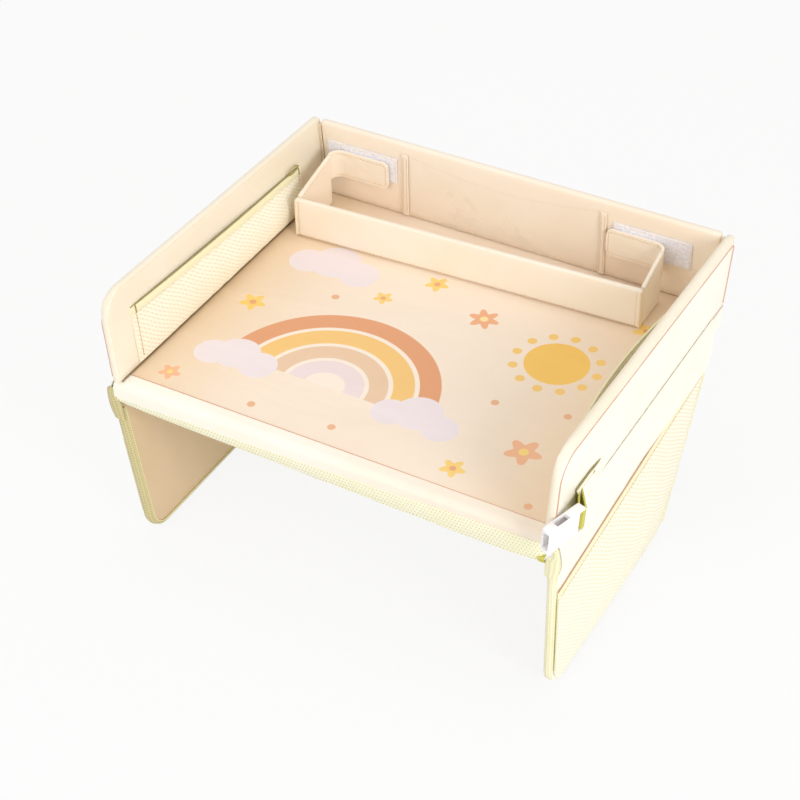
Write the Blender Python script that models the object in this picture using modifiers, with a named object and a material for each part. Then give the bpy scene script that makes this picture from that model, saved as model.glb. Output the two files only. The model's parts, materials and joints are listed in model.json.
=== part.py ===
"""Folding travel tray table for a child's car seat.

A padded fabric tray with three stand-up walls, two hanging leg flaps, mesh pockets,
a clear phone pocket on the back wall and a fold-up organiser. Metres, Z up. The
model is built in the tray's own frame (X across, Y from the open front edge to the
back wall, Z = 0 on the tray's top face) and then stood on the origin.
"""
import math

import bmesh
import bpy
from mathutils import Matrix, Vector

# Driving dimensions of the tray
INNER_WIDTH = 0.390
TRAY_DEPTH = 0.330
WALL_HEIGHT = 0.084
WALL_REAR_HEIGHT = 0.076
WALL_THICKNESS = 0.008
WALL_CORNER_RADIUS = 0.026
WALL_REAR_RADIUS = 0.004
WALL_LEAN = math.radians(4)
BASE_THICKNESS = 0.0245

# Sheet stock and sewing clearances
FABRIC = 0.0012
MESH = 0.0014
FILM = 0.0005
TAPE = 0.0010
CLEARANCE = 0.0003
PEEL_GAP = 0.0005
OVERRUN = 0.004
EDGE_ROUND = 0.0022

# How finely arcs and soft sheets are divided, and which edges stay sharp
ARC_STEPS = 6
POCKET_COLUMNS = 34
INNER_POCKET_ROWS = 5
OUTER_POCKET_ROWS = 7
FILM_COLUMNS = 20
FILM_ROWS = 5
SHARP_ANGLE = math.radians(35)
BEVEL_ANGLE = math.radians(40)
MITRE_LIMIT = math.cos(math.radians(60))

# Padded base
BOARD_THICKNESS = 0.003
FRONT_SEAM_SETBACK = 0.015
FRONT_ROLL_RADIUS = 0.007
BAND_DROP = 0.016
SIDE_ROLL_RADIUS = 0.003
PAD_SQUARENESS = 7.0
PAD_COLUMNS = 18
PAD_ROWS = 16

# Leg flaps
LEG_LENGTH = 0.140
LEG_THICKNESS = 0.009
LEG_FRONT_SETBACK = 0.002
LEG_BOTTOM_END = 0.221
LEG_TOP_END = 0.300
LEG_FRONT_RADIUS = 0.018
LEG_REAR_RADIUS = 0.045
LEG_FLANGE = 0.009
LEG_AXIS_INSET = 0.005
LEG_BINDING = 0.0012
LEFT_LEG_LEAN = math.radians(8)
RIGHT_LEG_LEAN = math.radians(0)

# Mesh pockets inside the side walls
INNER_POCKET_START = 0.030
INNER_POCKET_REAR_MARGIN = 0.038
INNER_POCKET_FOOT = 0.003
INNER_POCKET_HEIGHT = 0.047
INNER_POCKET_REAR_HEIGHT = 0.037
INNER_POCKET_BULGE = 0.010
INNER_FULLNESS_ALONG = 0.8
INNER_FULLNESS_UP = 0.7
INNER_HEM_WIDTH = 0.007

# Mesh pockets outside the legs
OUTER_POCKET_MARGIN = 0.003
OUTER_POCKET_FRONT_DROP = 0.040
OUTER_POCKET_REAR_DROP = 0.014
OUTER_POCKET_BULGE = 0.013
OUTER_FULLNESS_ALONG = 0.7
OUTER_FULLNESS_UP = 0.8
OUTER_HEM_SHARE = 0.82
OUTER_HEM_WIDTH = 0.007

# Gathers that the elastic draws into each pocket
GATHER_COUNT = 8
GATHER_DEPTH = 0.0006
HEM_THICKNESS = 0.0018

# Phone pocket, white loop patches and corner closures on the back wall
OFF_CENTRE = -0.008
WINDOW_WIDTH = 0.197
WINDOW_HEIGHT = 0.066
WINDOW_FOOT = 0.002
WINDOW_SAG = 0.005
WINDOW_BULGE = 0.008
WINDOW_FULLNESS_ALONG = 1.2
WINDOW_FULLNESS_UP = 0.8
WINDOW_TAPE_WIDTH = 0.006
PATCH_CORNER_RADIUS = 0.0012
PATCH_GAP = 0.009
PATCH_WALL_GAP = 0.0135
PATCH_HEIGHT = 0.027
PATCH_FOOT = 0.032
CORNER_STRIP_WIDTH = 0.006
CORNER_STRIP_LENGTH = 0.056
CORNER_STRIP_FOOT = 0.014

# Organiser
ORGANISER_LEFT = -0.1806
ORGANISER_RIGHT = 0.1535
ORGANISER_LEFT_GAP = 0.076
ORGANISER_RIGHT_GAP = 0.0585
ORGANISER_HEIGHT = 0.0395
ORGANISER_REAR_HEIGHT = 0.053
ORGANISER_THICKNESS = 0.006
END_THICKNESS = 0.004
TAB_WINDOW_GAPS = {"left": 0.0164, "right": 0.0047}
TAB_HEIGHT = 0.027
TAB_THICKNESS = 0.003
TAB_CORNER_RADIUS = 0.012
HOOK_MARGIN = 0.010

# Strap webbing and buckle sockets
WEBBING_WIDTH = 0.020
WEBBING_THICKNESS = 0.0013
WEBBING_SEWN_LENGTH = 0.024
WEBBING_END = 0.064
WRAP_START_DEGREES = 145
WRAP_END_DEGREES = 395
WRAP_STEPS = 14
BUCKLE_LENGTH = 0.042
BUCKLE_WIDTH = 0.025
BUCKLE_THICKNESS = 0.0095
BUCKLE_ROUND = 0.0022
BUCKLE_CORNER_RADIUS = 0.0044
BUCKLE_SLOT = 0.0052
BUCKLE_OVERHANG = 0.016
BUCKLE_FOOT = 0.0008
BUCKLE_YAW = math.radians(15)
BUCKLE_BAR = 0.0035
BUCKLE_WALL = 0.0016
BUCKLE_WINDOW = 0.015
LEFT_BUCKLE_SETBACK = 0.046

HALF_OUTER = INNER_WIDTH / 2 + WALL_THICKNESS
BASE_DEPTH = TRAY_DEPTH + WALL_THICKNESS
SIDES = {"left": -1, "right": 1}

# Colours as seen in daylight, roughness and metallic value
FINISHES = {
    "coated_cream_cloth": ((0.86, 0.72, 0.50), 0.62, 0.0),
    "printed_cream_cloth": ((0.90, 0.76, 0.56), 0.45, 0.0),
    "yellow_air_mesh": ((0.90, 0.85, 0.55), 0.85, 0.0),
    "yellow_elastic": ((0.88, 0.82, 0.48), 0.75, 0.0),
    "grey_hollow_board": ((0.55, 0.55, 0.53), 0.50, 0.0),
    "white_foam": ((0.88, 0.88, 0.86), 0.90, 0.0),
    "clear_film": ((0.92, 0.92, 0.90), 0.08, 0.0),
    "white_loop_tape": ((0.86, 0.84, 0.90), 0.90, 0.0),
    "white_moulded_plastic": ((0.90, 0.90, 0.92), 0.35, 0.0),
    "olive_webbing": ((0.72, 0.68, 0.36), 0.80, 0.0),
}

# A flat outline lies in its own plane until one of these turns it to face an axis
FACE_X = Matrix(((0, 0, 1), (1, 0, 0), (0, 1, 0))).to_4x4()
FACE_Y = Matrix(((1, 0, 0), (0, 0, -1), (0, 1, 0))).to_4x4()
FACE_Z = Matrix.Identity(4)


def clear_scene():
    """Remove whatever the opened file holds."""
    for thing in list(bpy.data.objects):
        bpy.data.objects.remove(thing, do_unlink=True)


def new_collection(name):
    """A collection in the scene for the parts or for the cutters."""
    collection = bpy.data.collections.new(name)
    bpy.context.scene.collection.children.link(collection)
    return collection


def finish(name):
    """The Principled material of one of the tray's finishes."""
    known = bpy.data.materials.get(name)
    if known:
        return known
    colour, roughness, metallic = FINISHES[name]
    material = bpy.data.materials.new(name)
    material.use_nodes = True
    shader = material.node_tree.nodes["Principled BSDF"]
    shader.inputs["Base Color"].default_value = (*colour, 1.0)
    shader.inputs["Roughness"].default_value = roughness
    shader.inputs["Metallic"].default_value = metallic
    material.diffuse_color = (*colour, 1.0)
    return material


def pivot(name, parent, location, turn=0.0, axis="Y"):
    """An empty on a joint's axis, which carries the pieces that move with it."""
    holder = bpy.data.objects.new(name, None)
    PARTS.objects.link(holder)
    holder.parent = parent
    holder.location = location
    holder.rotation_euler["XYZ".index(axis)] = turn
    return holder


def piece(name, mesh, parent, finish_name):
    """Put a finished mesh in the parts collection under its joint or frame."""
    thing = bpy.data.objects.new(name, mesh)
    PARTS.objects.link(thing)
    thing.parent = parent
    mesh.materials.append(finish(finish_name))
    mesh.shade_smooth()
    mesh.set_sharp_from_angle(angle=SHARP_ANGLE)
    return thing


def round_corners(corners):
    """Turn (across, up, radius) corners into an outline with true arcs."""
    outline = []
    count = len(corners)
    for index, (across, up, radius) in enumerate(corners):
        here = Vector((across, up))
        if radius <= 0:
            outline.append(here)
            continue
        before = (Vector(corners[index - 1][:2]) - here).normalized()
        after = (Vector(corners[(index + 1) % count][:2]) - here).normalized()
        half_angle = before.angle(after) / 2
        reach = radius / math.tan(half_angle)
        centre = here + (before + after).normalized() * radius / math.sin(half_angle)
        start = here + before * reach - centre
        sweep = start.angle_signed(here + after * reach - centre)
        for step in range(ARC_STEPS + 1):
            angle = -sweep * step / ARC_STEPS
            outline.append(centre + Matrix.Rotation(angle, 2) @ start)
    return outline


def ribbon(middle_line, thickness):
    """Closed outline of a strip of sheet that follows an open middle line."""
    points = [Vector(point) for point in middle_line]
    left_side, right_side = [], []
    for index, point in enumerate(points):
        ahead = points[min(index + 1, len(points) - 1)] - point
        behind = point - points[max(index - 1, 0)]
        direction = (ahead.normalized() + behind.normalized()).normalized()
        normal = Vector((-direction.y, direction.x))
        reach = ahead if ahead.length > 0 else behind
        square = Vector((-reach.y, reach.x)).normalized()
        spread = thickness / 2 / max(abs(normal.dot(square)), MITRE_LIMIT)
        left_side.append(point + normal * spread)
        right_side.append(point - normal * spread)
    return left_side + right_side[::-1]


def arc(centre, radius, start, end, steps=ARC_STEPS):
    """Points along an arc, with its angles in degrees."""
    points = []
    for step in range(steps + 1):
        angle = math.radians(start + (end - start) * step / steps)
        points.append((centre[0] + radius * math.cos(angle), centre[1] + radius * math.sin(angle)))
    return points


def plate_mesh(name, outlines, thickness, facing, centre):
    """Extrude flat outlines to a plate that faces an axis, its mid-plane at centre."""
    curve = bpy.data.curves.new(name, "CURVE")
    curve.dimensions = "2D"
    curve.fill_mode = "BOTH"
    curve.extrude = thickness / 2
    for outline in outlines:
        spline = curve.splines.new("POLY")
        spline.points.add(len(outline) - 1)
        for control, point in zip(spline.points, outline):
            control.co = (point[0], point[1], 0, 1)
        spline.use_cyclic_u = True
    drawn = bpy.data.objects.new(name, curve)
    bpy.context.scene.collection.objects.link(drawn)
    bpy.context.view_layer.update()
    graph = bpy.context.evaluated_depsgraph_get()
    mesh = bpy.data.meshes.new_from_object(drawn.evaluated_get(graph))
    bpy.data.objects.remove(drawn, do_unlink=True)
    welded = bmesh.new()
    welded.from_mesh(mesh)
    bmesh.ops.remove_doubles(welded, verts=welded.verts, dist=CLEARANCE / 100)
    bmesh.ops.transform(welded, matrix=Matrix.Translation(centre) @ facing, verts=welded.verts)
    bmesh.ops.recalc_face_normals(welded, faces=welded.faces)
    welded.to_mesh(mesh)
    welded.free()
    return mesh


def plate(name, outline, thickness, facing, centre, parent, finish_name, edge=0.0, segments=2):
    """A plate with an optional rounded edge, as its own object."""
    thing = piece(name, plate_mesh(name, [outline], thickness, facing, centre), parent, finish_name)
    if edge > 0:
        soften(thing, edge, segments)
    return thing


def soften(thing, width, segments=2):
    """Round the sharp edges of a piece."""
    bevel = thing.modifiers.new("rounded_edges", "BEVEL")
    bevel.width = width
    bevel.segments = segments
    bevel.limit_method = "ANGLE"
    bevel.angle_limit = BEVEL_ANGLE


def cut(thing, name, outline, thickness, facing, centre, parent):
    """Cut a plate-shaped hollow out of a piece."""
    cutter = bpy.data.objects.new(name, plate_mesh(name, [outline], thickness, facing, centre))
    CUTTERS.objects.link(cutter)
    cutter.parent = parent
    cutter.hide_render = True
    cutter.display_type = "WIRE"
    hollow = thing.modifiers.new(name, "BOOLEAN")
    hollow.operation = "DIFFERENCE"
    hollow.solver = "EXACT"
    hollow.object = cutter


def box_outline(low_across, low_up, high_across, high_up, radius=0.0):
    """Outline of a rectangle with four equal corners."""
    return round_corners([
        (low_across, low_up, radius), (high_across, low_up, radius),
        (high_across, high_up, radius), (low_across, high_up, radius)])


def sheet(name, columns, rows, shape, thickness, parent, finish_name):
    """A sewn sheet: a grid whose points follow shape(u, v), given its thickness."""
    grid = bmesh.new()
    bmesh.ops.create_grid(grid, x_segments=columns, y_segments=rows, size=0.5)
    for vert in grid.verts:
        vert.co = shape(vert.co.x + 0.5, vert.co.y + 0.5)
    mesh = bpy.data.meshes.new(name)
    grid.to_mesh(mesh)
    grid.free()
    thing = piece(name, mesh, parent, finish_name)
    stock = thing.modifiers.new("stock_thickness", "SOLIDIFY")
    stock.thickness = thickness
    stock.offset = 0
    stock.use_even_offset = True
    return thing


def pad_depth(across_share, along_share):
    """How far the crowned underside has swelled, from 0 at its rim to 1 in the middle."""
    across = max(0.0, 1 - abs(across_share) ** PAD_SQUARENESS) ** (1 / PAD_SQUARENESS)
    along = max(0.0, 1 - abs(along_share) ** PAD_SQUARENESS) ** (1 / PAD_SQUARENESS)
    return across * along


def pad_surface(inset, rim, lowest):
    """Shape of the crowned underside, drawn in by inset from the bands round it."""
    half_width = HALF_OUTER - FABRIC - CLEARANCE - inset
    rear = BASE_DEPTH - FABRIC - CLEARANCE - inset

    def shape(u, v):
        across = math.sin(math.pi * (u - 0.5))
        along = math.sin(math.pi * (v - 0.5))
        height = rim + (lowest - rim) * pad_depth(across, along)
        return (across * half_width, (inset + rear) / 2 + along * (rear - inset) / 2, height)
    return shape


def build_base(frame):
    """Board, foam, printed top cloth, mesh underside and the cream band round the edge."""
    sheet_outline = box_outline(-HALF_OUTER, FRONT_SEAM_SETBACK + CLEARANCE, HALF_OUTER, BASE_DEPTH)
    plate("tray_top_fabric", sheet_outline, FABRIC, FACE_Z, (0, 0, -FABRIC / 2), frame, "printed_cream_cloth")

    board_inset = FABRIC + CLEARANCE
    board_top = -FABRIC - CLEARANCE
    front_inset = FRONT_ROLL_RADIUS
    board_outline = box_outline(
        -HALF_OUTER + board_inset, front_inset, HALF_OUTER - board_inset, BASE_DEPTH - board_inset)
    plate("tray_board", board_outline, BOARD_THICKNESS, FACE_Z,
          (0, 0, board_top - BOARD_THICKNESS / 2), frame, "grey_hollow_board")

    rim = -BAND_DROP - CLEARANCE - MESH / 2
    shell_inset = MESH / 2
    sheet("underside_mesh", PAD_COLUMNS, PAD_ROWS, pad_surface(shell_inset, rim, -BASE_THICKNESS + MESH / 2),
          MESH, frame, "yellow_air_mesh")
    build_foam(frame, board_top - BOARD_THICKNESS - CLEARANCE, rim)

    roll = FRONT_ROLL_RADIUS - FABRIC / 2
    middle_line = [(FRONT_SEAM_SETBACK, -FABRIC / 2)]
    middle_line += arc((FRONT_ROLL_RADIUS, -FRONT_ROLL_RADIUS), roll, 90, 180)
    middle_line += [(FABRIC / 2, -BAND_DROP)]
    plate("front_band", ribbon(middle_line, FABRIC), 2 * HALF_OUTER, FACE_X, (0, 0, 0), frame,
          "coated_cream_cloth")

    band_top = -FABRIC - CLEARANCE
    turn_height = -BASE_THICKNESS + SIDE_ROLL_RADIUS
    side_start = FRONT_ROLL_RADIUS + FABRIC
    side_end = BASE_DEPTH - FABRIC - CLEARANCE
    band_face = HALF_OUTER - FABRIC / 2
    roll = SIDE_ROLL_RADIUS - FABRIC / 2
    return_end = HALF_OUTER - LEG_AXIS_INSET + FABRIC + 2 * CLEARANCE
    for side_name, side in SIDES.items():
        middle_line = [(band_face, band_top)]
        middle_line += arc((band_face - roll, turn_height), roll, 0, -90)
        middle_line += [(return_end, turn_height - roll)]
        outline = ribbon([(side * across, up) for across, up in middle_line], FABRIC)
        plate(side_name + "_side_band", outline, side_end - side_start, FACE_Y,
              (0, (side_start + side_end) / 2, 0), frame, "coated_cream_cloth")
    outline = box_outline(-HALF_OUTER, turn_height, HALF_OUTER, band_top)
    plate("rear_band", outline, FABRIC, FACE_Y, (0, BASE_DEPTH - FABRIC / 2, 0), frame,
          "coated_cream_cloth")


def build_foam(frame, top, rim):
    """The foam slab that gives the underside its crown."""
    inset = 2 * MESH
    shape = pad_surface(inset, rim + MESH, -BASE_THICKNESS + MESH + 2 * CLEARANCE)
    slab = bmesh.new()
    bmesh.ops.create_grid(slab, x_segments=PAD_COLUMNS, y_segments=PAD_ROWS, size=0.5)
    for vert in slab.verts:
        vert.co = shape(vert.co.x + 0.5, vert.co.y + 0.5)
    skin = bmesh.ops.extrude_face_region(slab, geom=slab.faces[:])
    for vert in (item for item in skin["geom"] if isinstance(item, bmesh.types.BMVert)):
        vert.co.z = top
    bmesh.ops.recalc_face_normals(slab, faces=slab.faces)
    mesh = bpy.data.meshes.new("lap_pad_foam")
    slab.to_mesh(mesh)
    slab.free()
    piece("lap_pad_foam", mesh, frame, "white_foam")


def side_wall_outline(inset, foot):
    """Side wall seen from the side: rounded at the front top corner, a little lower at the rear."""
    return round_corners([
        (inset, foot, 0), (BASE_DEPTH - inset, foot, 0),
        (BASE_DEPTH - inset, WALL_REAR_HEIGHT - inset, WALL_REAR_RADIUS),
        (inset, WALL_HEIGHT - inset, WALL_CORNER_RADIUS - inset)])


def build_side_wall(side_name, side, frame):
    """One side wall: a board in a cloth sleeve, with a mesh pocket and the strap end."""
    hinge = pivot(side_name + "_wall_hinge", frame, (side * HALF_OUTER, 0, 0), side * WALL_LEAN)
    middle = (-side * WALL_THICKNESS / 2, 0, 0)
    cover = plate(side_name + "_wall_cover", side_wall_outline(0, CLEARANCE), WALL_THICKNESS, FACE_X,
                  middle, hinge, "coated_cream_cloth", EDGE_ROUND)
    cut(cover, side_name + "_wall_sleeve", side_wall_outline(FABRIC, -OVERRUN),
        WALL_THICKNESS - 2 * FABRIC, FACE_X, middle, hinge)
    plate(side_name + "_wall_board", side_wall_outline(FABRIC + CLEARANCE, 2 * CLEARANCE),
          WALL_THICKNESS - 2 * FABRIC - 2 * CLEARANCE, FACE_X, middle, hinge, "grey_hollow_board")

    strip = box_outline(
        BASE_DEPTH - WALL_THICKNESS / 2 - CORNER_STRIP_WIDTH / 2, CORNER_STRIP_FOOT,
        BASE_DEPTH - WALL_THICKNESS / 2 + CORNER_STRIP_WIDTH / 2, CORNER_STRIP_FOOT + CORNER_STRIP_LENGTH)
    plate(side_name + "_corner_loop_strip", strip, TAPE, FACE_X,
          (-side * (WALL_THICKNESS + CLEARANCE + TAPE / 2), 0, 0), hinge, "white_loop_tape")

    build_inner_pocket(side_name, side, hinge)
    build_strap_end(side_name, side, hinge)


def gather(u, v):
    """Depth of the small pleats that the elastic draws in, fading towards the foot."""
    return GATHER_DEPTH * math.sin(2 * math.pi * GATHER_COUNT * u) * v * v * math.sin(math.pi * u)


def build_inner_pocket(side_name, side, hinge):
    """The mesh pocket on the wall's inner face, with its elastic hem."""
    face = WALL_THICKNESS + CLEARANCE + MESH / 2
    length = TRAY_DEPTH - INNER_POCKET_REAR_MARGIN - INNER_POCKET_START

    def surface(u, v, lift=0.0, extra=0.0):
        along = max(0.0, math.sin(math.pi * u)) ** INNER_FULLNESS_ALONG
        up = max(0.0, math.sin(math.pi / 2 * v)) ** INNER_FULLNESS_UP
        depth = face + INNER_POCKET_BULGE * along * up + gather(u, v) + extra
        full_height = INNER_POCKET_HEIGHT + (INNER_POCKET_REAR_HEIGHT - INNER_POCKET_HEIGHT) * u
        height = INNER_POCKET_FOOT + full_height * v + lift
        return (-side * depth, INNER_POCKET_START + length * u, height)

    sheet(side_name + "_inner_pocket", POCKET_COLUMNS, INNER_POCKET_ROWS, surface, MESH, hinge,
          "yellow_air_mesh")

    def hem(u, v):
        return surface(u, 1.0, CLEARANCE + MESH / 2 + INNER_HEM_WIDTH * v, (HEM_THICKNESS - MESH) / 2)
    sheet(side_name + "_inner_pocket_hem", POCKET_COLUMNS, 1, hem, HEM_THICKNESS, hinge, "yellow_elastic")


def build_strap_end(side_name, side, hinge):
    """The webbing sewn to the foot of the wall and the buckle socket that it holds."""
    setback = LEFT_BUCKLE_SETBACK if side < 0 else 0.0
    yaw = 0.0 if side < 0 else -BUCKLE_YAW
    foot = BUCKLE_FOOT + CLEARANCE
    holder = pivot(side_name + "_buckle_holder", hinge, (side * CLEARANCE, setback, foot), yaw, "Z")
    front = -BUCKLE_OVERHANG
    back = front + BUCKLE_LENGTH
    middle_depth = side * BUCKLE_THICKNESS / 2
    body = box_outline(front, 0, back, BUCKLE_WIDTH, BUCKLE_CORNER_RADIUS)
    socket = plate(side_name + "_buckle_socket", body, BUCKLE_THICKNESS, FACE_X, (middle_depth, 0, 0), holder,
                   "white_moulded_plastic", BUCKLE_ROUND)
    bar_start = back - BUCKLE_BAR
    slot_start = bar_start - BUCKLE_SLOT
    inside = BUCKLE_THICKNESS - 2 * BUCKLE_WALL
    slot_low = BUCKLE_WIDTH / 2 - WEBBING_WIDTH / 2 - CLEARANCE
    slot = box_outline(slot_start, slot_low, bar_start, BUCKLE_WIDTH - slot_low)
    cut(socket, side_name + "_bar_slot", slot, BUCKLE_THICKNESS + OVERRUN, FACE_X, (middle_depth, 0, 0),
        holder)
    recess = box_outline(slot_start, slot_low, back + OVERRUN, BUCKLE_WIDTH - slot_low)
    for face_name, face in (("inner", 0), ("outer", side * BUCKLE_THICKNESS)):
        cut(socket, side_name + "_bar_recess_" + face_name, recess, BUCKLE_THICKNESS - BUCKLE_BAR, FACE_X,
            (face, 0, 0), holder)
    mouth = box_outline(front - OVERRUN, BUCKLE_CORNER_RADIUS, slot_start - BUCKLE_WALL,
                        BUCKLE_WIDTH - BUCKLE_CORNER_RADIUS)
    cut(socket, side_name + "_prong_mouth", mouth, inside, FACE_X, (middle_depth, 0, 0), holder)
    window_start = front + (slot_start - front - BUCKLE_WINDOW) / 2
    window = box_outline(window_start, -OVERRUN, window_start + BUCKLE_WINDOW, BUCKLE_WIDTH + OVERRUN)
    cut(socket, side_name + "_prong_window", window, inside, FACE_X, (middle_depth, 0, 0), holder)
    build_webbing(side_name, side, hinge, holder, (bar_start + back) / 2)


def build_webbing(side_name, side, hinge, holder, bar_middle):
    """Webbing that leaves the wall, goes round the buckle's bar and is sewn to itself."""
    turn = Matrix.Rotation(holder.rotation_euler.z, 2)
    bar = turn @ Vector((side * BUCKLE_THICKNESS / 2, bar_middle)) + Vector(holder.location[:2])
    wrap = math.hypot(BUCKLE_BAR, BUCKLE_BAR) / 2 + CLEARANCE + WEBBING_THICKNESS / 2
    inner_leaf = WEBBING_THICKNESS / 2 + CLEARANCE
    outer_leaf = inner_leaf + WEBBING_THICKNESS + CLEARANCE
    end = WEBBING_END + holder.location.y
    sewn = end - WEBBING_SEWN_LENGTH
    line = [(inner_leaf, end), (inner_leaf, sewn)]
    line += arc((side * bar.x, bar.y), wrap, WRAP_START_DEGREES, WRAP_END_DEGREES, WRAP_STEPS)
    line += [(outer_leaf, sewn + WEBBING_THICKNESS), (outer_leaf, end)]
    outline = ribbon([(side * across, along) for across, along in line], WEBBING_THICKNESS)
    middle_up = holder.location.z + BUCKLE_WIDTH / 2
    plate(side_name + "_strap_webbing", outline, WEBBING_WIDTH, FACE_Z, (0, 0, middle_up), hinge,
          "olive_webbing")


def side_face_across(depth, height):
    """X of a plane that lies this deep inside the leaning right wall, at a height."""
    along_wall = (height + depth * -math.sin(WALL_LEAN)) / math.cos(WALL_LEAN)
    return HALF_OUTER - depth * math.cos(WALL_LEAN) + along_wall * math.sin(WALL_LEAN)


def back_wall_outline(inset, foot):
    """Back wall seen from the front: its ends lean with the side walls."""
    end_depth = WALL_THICKNESS + 2 * TAPE + 3 * CLEARANCE + inset
    low = side_face_across(end_depth, foot)
    top = WALL_REAR_HEIGHT - inset
    high = side_face_across(end_depth, top)
    return round_corners([
        (-low, foot, 0), (low, foot, 0), (high, top, WALL_REAR_RADIUS), (-high, top, WALL_REAR_RADIUS)])


def build_back_wall(frame):
    """Back wall with its clear phone pocket, white loop patches and corner strips."""
    hinge = pivot("back_wall_hinge", frame, (0, BASE_DEPTH, 0), 0, "X")
    middle = (0, -WALL_THICKNESS / 2, 0)
    cover = plate("back_wall_cover", back_wall_outline(0, CLEARANCE), WALL_THICKNESS, FACE_Y, middle, hinge,
                  "coated_cream_cloth", EDGE_ROUND)
    cut(cover, "back_wall_sleeve", back_wall_outline(FABRIC, -OVERRUN), WALL_THICKNESS - 2 * FABRIC,
        FACE_Y, middle, hinge)
    plate("back_wall_board", back_wall_outline(FABRIC + CLEARANCE, 2 * CLEARANCE),
          WALL_THICKNESS - 2 * FABRIC - 2 * CLEARANCE, FACE_Y, middle, hinge, "grey_hollow_board")

    face = -WALL_THICKNESS - CLEARANCE
    for side_name, side in SIDES.items():
        ends = sorted((OFF_CENTRE + side * (WINDOW_WIDTH / 2 + PATCH_GAP),
                       OFF_CENTRE + side * (INNER_WIDTH / 2 - PATCH_WALL_GAP)))
        patch = box_outline(ends[0], PATCH_FOOT, ends[1], PATCH_FOOT + PATCH_HEIGHT, PATCH_CORNER_RADIUS)
        plate(side_name + "_loop_patch", patch, TAPE, FACE_Y, (0, face - TAPE / 2, 0), hinge,
              "white_loop_tape")
        strip = box_outline(-CORNER_STRIP_WIDTH / 2, CORNER_STRIP_FOOT, CORNER_STRIP_WIDTH / 2,
                            CORNER_STRIP_FOOT + CORNER_STRIP_LENGTH)
        depth = WALL_THICKNESS + 2 * CLEARANCE + TAPE * 3 / 2
        hook = plate(side_name + "_corner_hook_strip", strip, TAPE, FACE_X,
                     (-side * depth, 0, 0), hinge, "white_loop_tape")
        hook.location = (side * HALF_OUTER, -WALL_THICKNESS / 2, 0)
        hook.rotation_euler.y = side * WALL_LEAN
    build_window(hinge, face)


def build_window(hinge, face):
    """Clear film sewn down along three edges and open at the top."""
    def film(u, v):
        top = WINDOW_HEIGHT - WINDOW_SAG * math.sin(math.pi * u)
        along = max(0.0, math.sin(math.pi * u)) ** WINDOW_FULLNESS_ALONG
        up = max(0.0, math.sin(math.pi / 2 * v)) ** WINDOW_FULLNESS_UP
        across = OFF_CENTRE + WINDOW_WIDTH * (0.5 - u)
        return (across, face - FILM / 2 - WINDOW_BULGE * along * up, WINDOW_FOOT + (top - WINDOW_FOOT) * v)
    sheet("phone_window_film", FILM_COLUMNS, FILM_ROWS, film, FILM, hinge, "clear_film")

    for side_name, side in SIDES.items():
        edge = OFF_CENTRE + side * WINDOW_WIDTH / 2
        tape = box_outline(edge - WINDOW_TAPE_WIDTH / 2, WINDOW_FOOT, edge + WINDOW_TAPE_WIDTH / 2,
                           WINDOW_HEIGHT + CLEARANCE)
        depth = FILM + CLEARANCE + TAPE / 2
        plate(side_name + "_window_binding", tape, TAPE, FACE_Y, (0, face - depth, 0), hinge,
              "coated_cream_cloth")


def leg_outline(inset, top):
    """Leg flap seen from the side, with Z = 0 on its hinge."""
    bottom = -LEG_LENGTH + inset
    slope = (LEG_TOP_END - LEG_BOTTOM_END) / LEG_LENGTH
    rear_inset = inset * math.hypot(1, slope)
    return round_corners([
        (LEG_FRONT_SETBACK + inset, top, 0),
        (LEG_FRONT_SETBACK + inset, bottom, LEG_FRONT_RADIUS - inset),
        (LEG_BOTTOM_END + slope * inset - rear_inset, bottom, LEG_REAR_RADIUS - inset),
        (LEG_TOP_END + slope * top - rear_inset, top, 0)])


def build_leg(side_name, side, frame):
    """One leg flap: a board in a cloth sleeve with a bound edge and a mesh pocket."""
    lean = LEFT_LEG_LEAN if side < 0 else RIGHT_LEG_LEAN
    hinge = pivot(side_name + "_leg_hinge", frame,
                  (side * (HALF_OUTER - LEG_AXIS_INSET), 0, -BASE_THICKNESS - CLEARANCE), side * lean)
    middle = (side * LEG_THICKNESS / 2, 0, 0)
    shoulder = -LEG_FLANGE
    binding = plate(side_name + "_leg_binding", leg_outline(0, shoulder), LEG_THICKNESS, FACE_X, middle,
                    hinge, "yellow_air_mesh", EDGE_ROUND)
    cut(binding, side_name + "_leg_binding_inside", leg_outline(LEG_BINDING, shoulder + OVERRUN),
        LEG_THICKNESS + OVERRUN, FACE_X, middle, hinge)

    sleeve = LEG_BINDING + CLEARANCE
    cover = plate(side_name + "_leg_cover", leg_outline(sleeve, 0), LEG_THICKNESS, FACE_X, middle, hinge,
                  "coated_cream_cloth")
    cut(cover, side_name + "_leg_sleeve", leg_outline(sleeve + FABRIC, OVERRUN),
        LEG_THICKNESS - 2 * FABRIC, FACE_X, middle, hinge)
    shoulder_cut = box_outline(-OVERRUN, shoulder, LEG_TOP_END + OVERRUN, OVERRUN)
    cut(cover, side_name + "_leg_shoulder", shoulder_cut, LEG_THICKNESS, FACE_X,
        (side * (FABRIC + CLEARANCE + LEG_THICKNESS / 2), 0, 0), hinge)
    plate(side_name + "_leg_board", leg_outline(sleeve + FABRIC + CLEARANCE, shoulder),
          LEG_THICKNESS - 2 * FABRIC - 2 * CLEARANCE, FACE_X, middle, hinge, "grey_hollow_board")
    build_outer_pocket(side_name, side, hinge)


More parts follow.
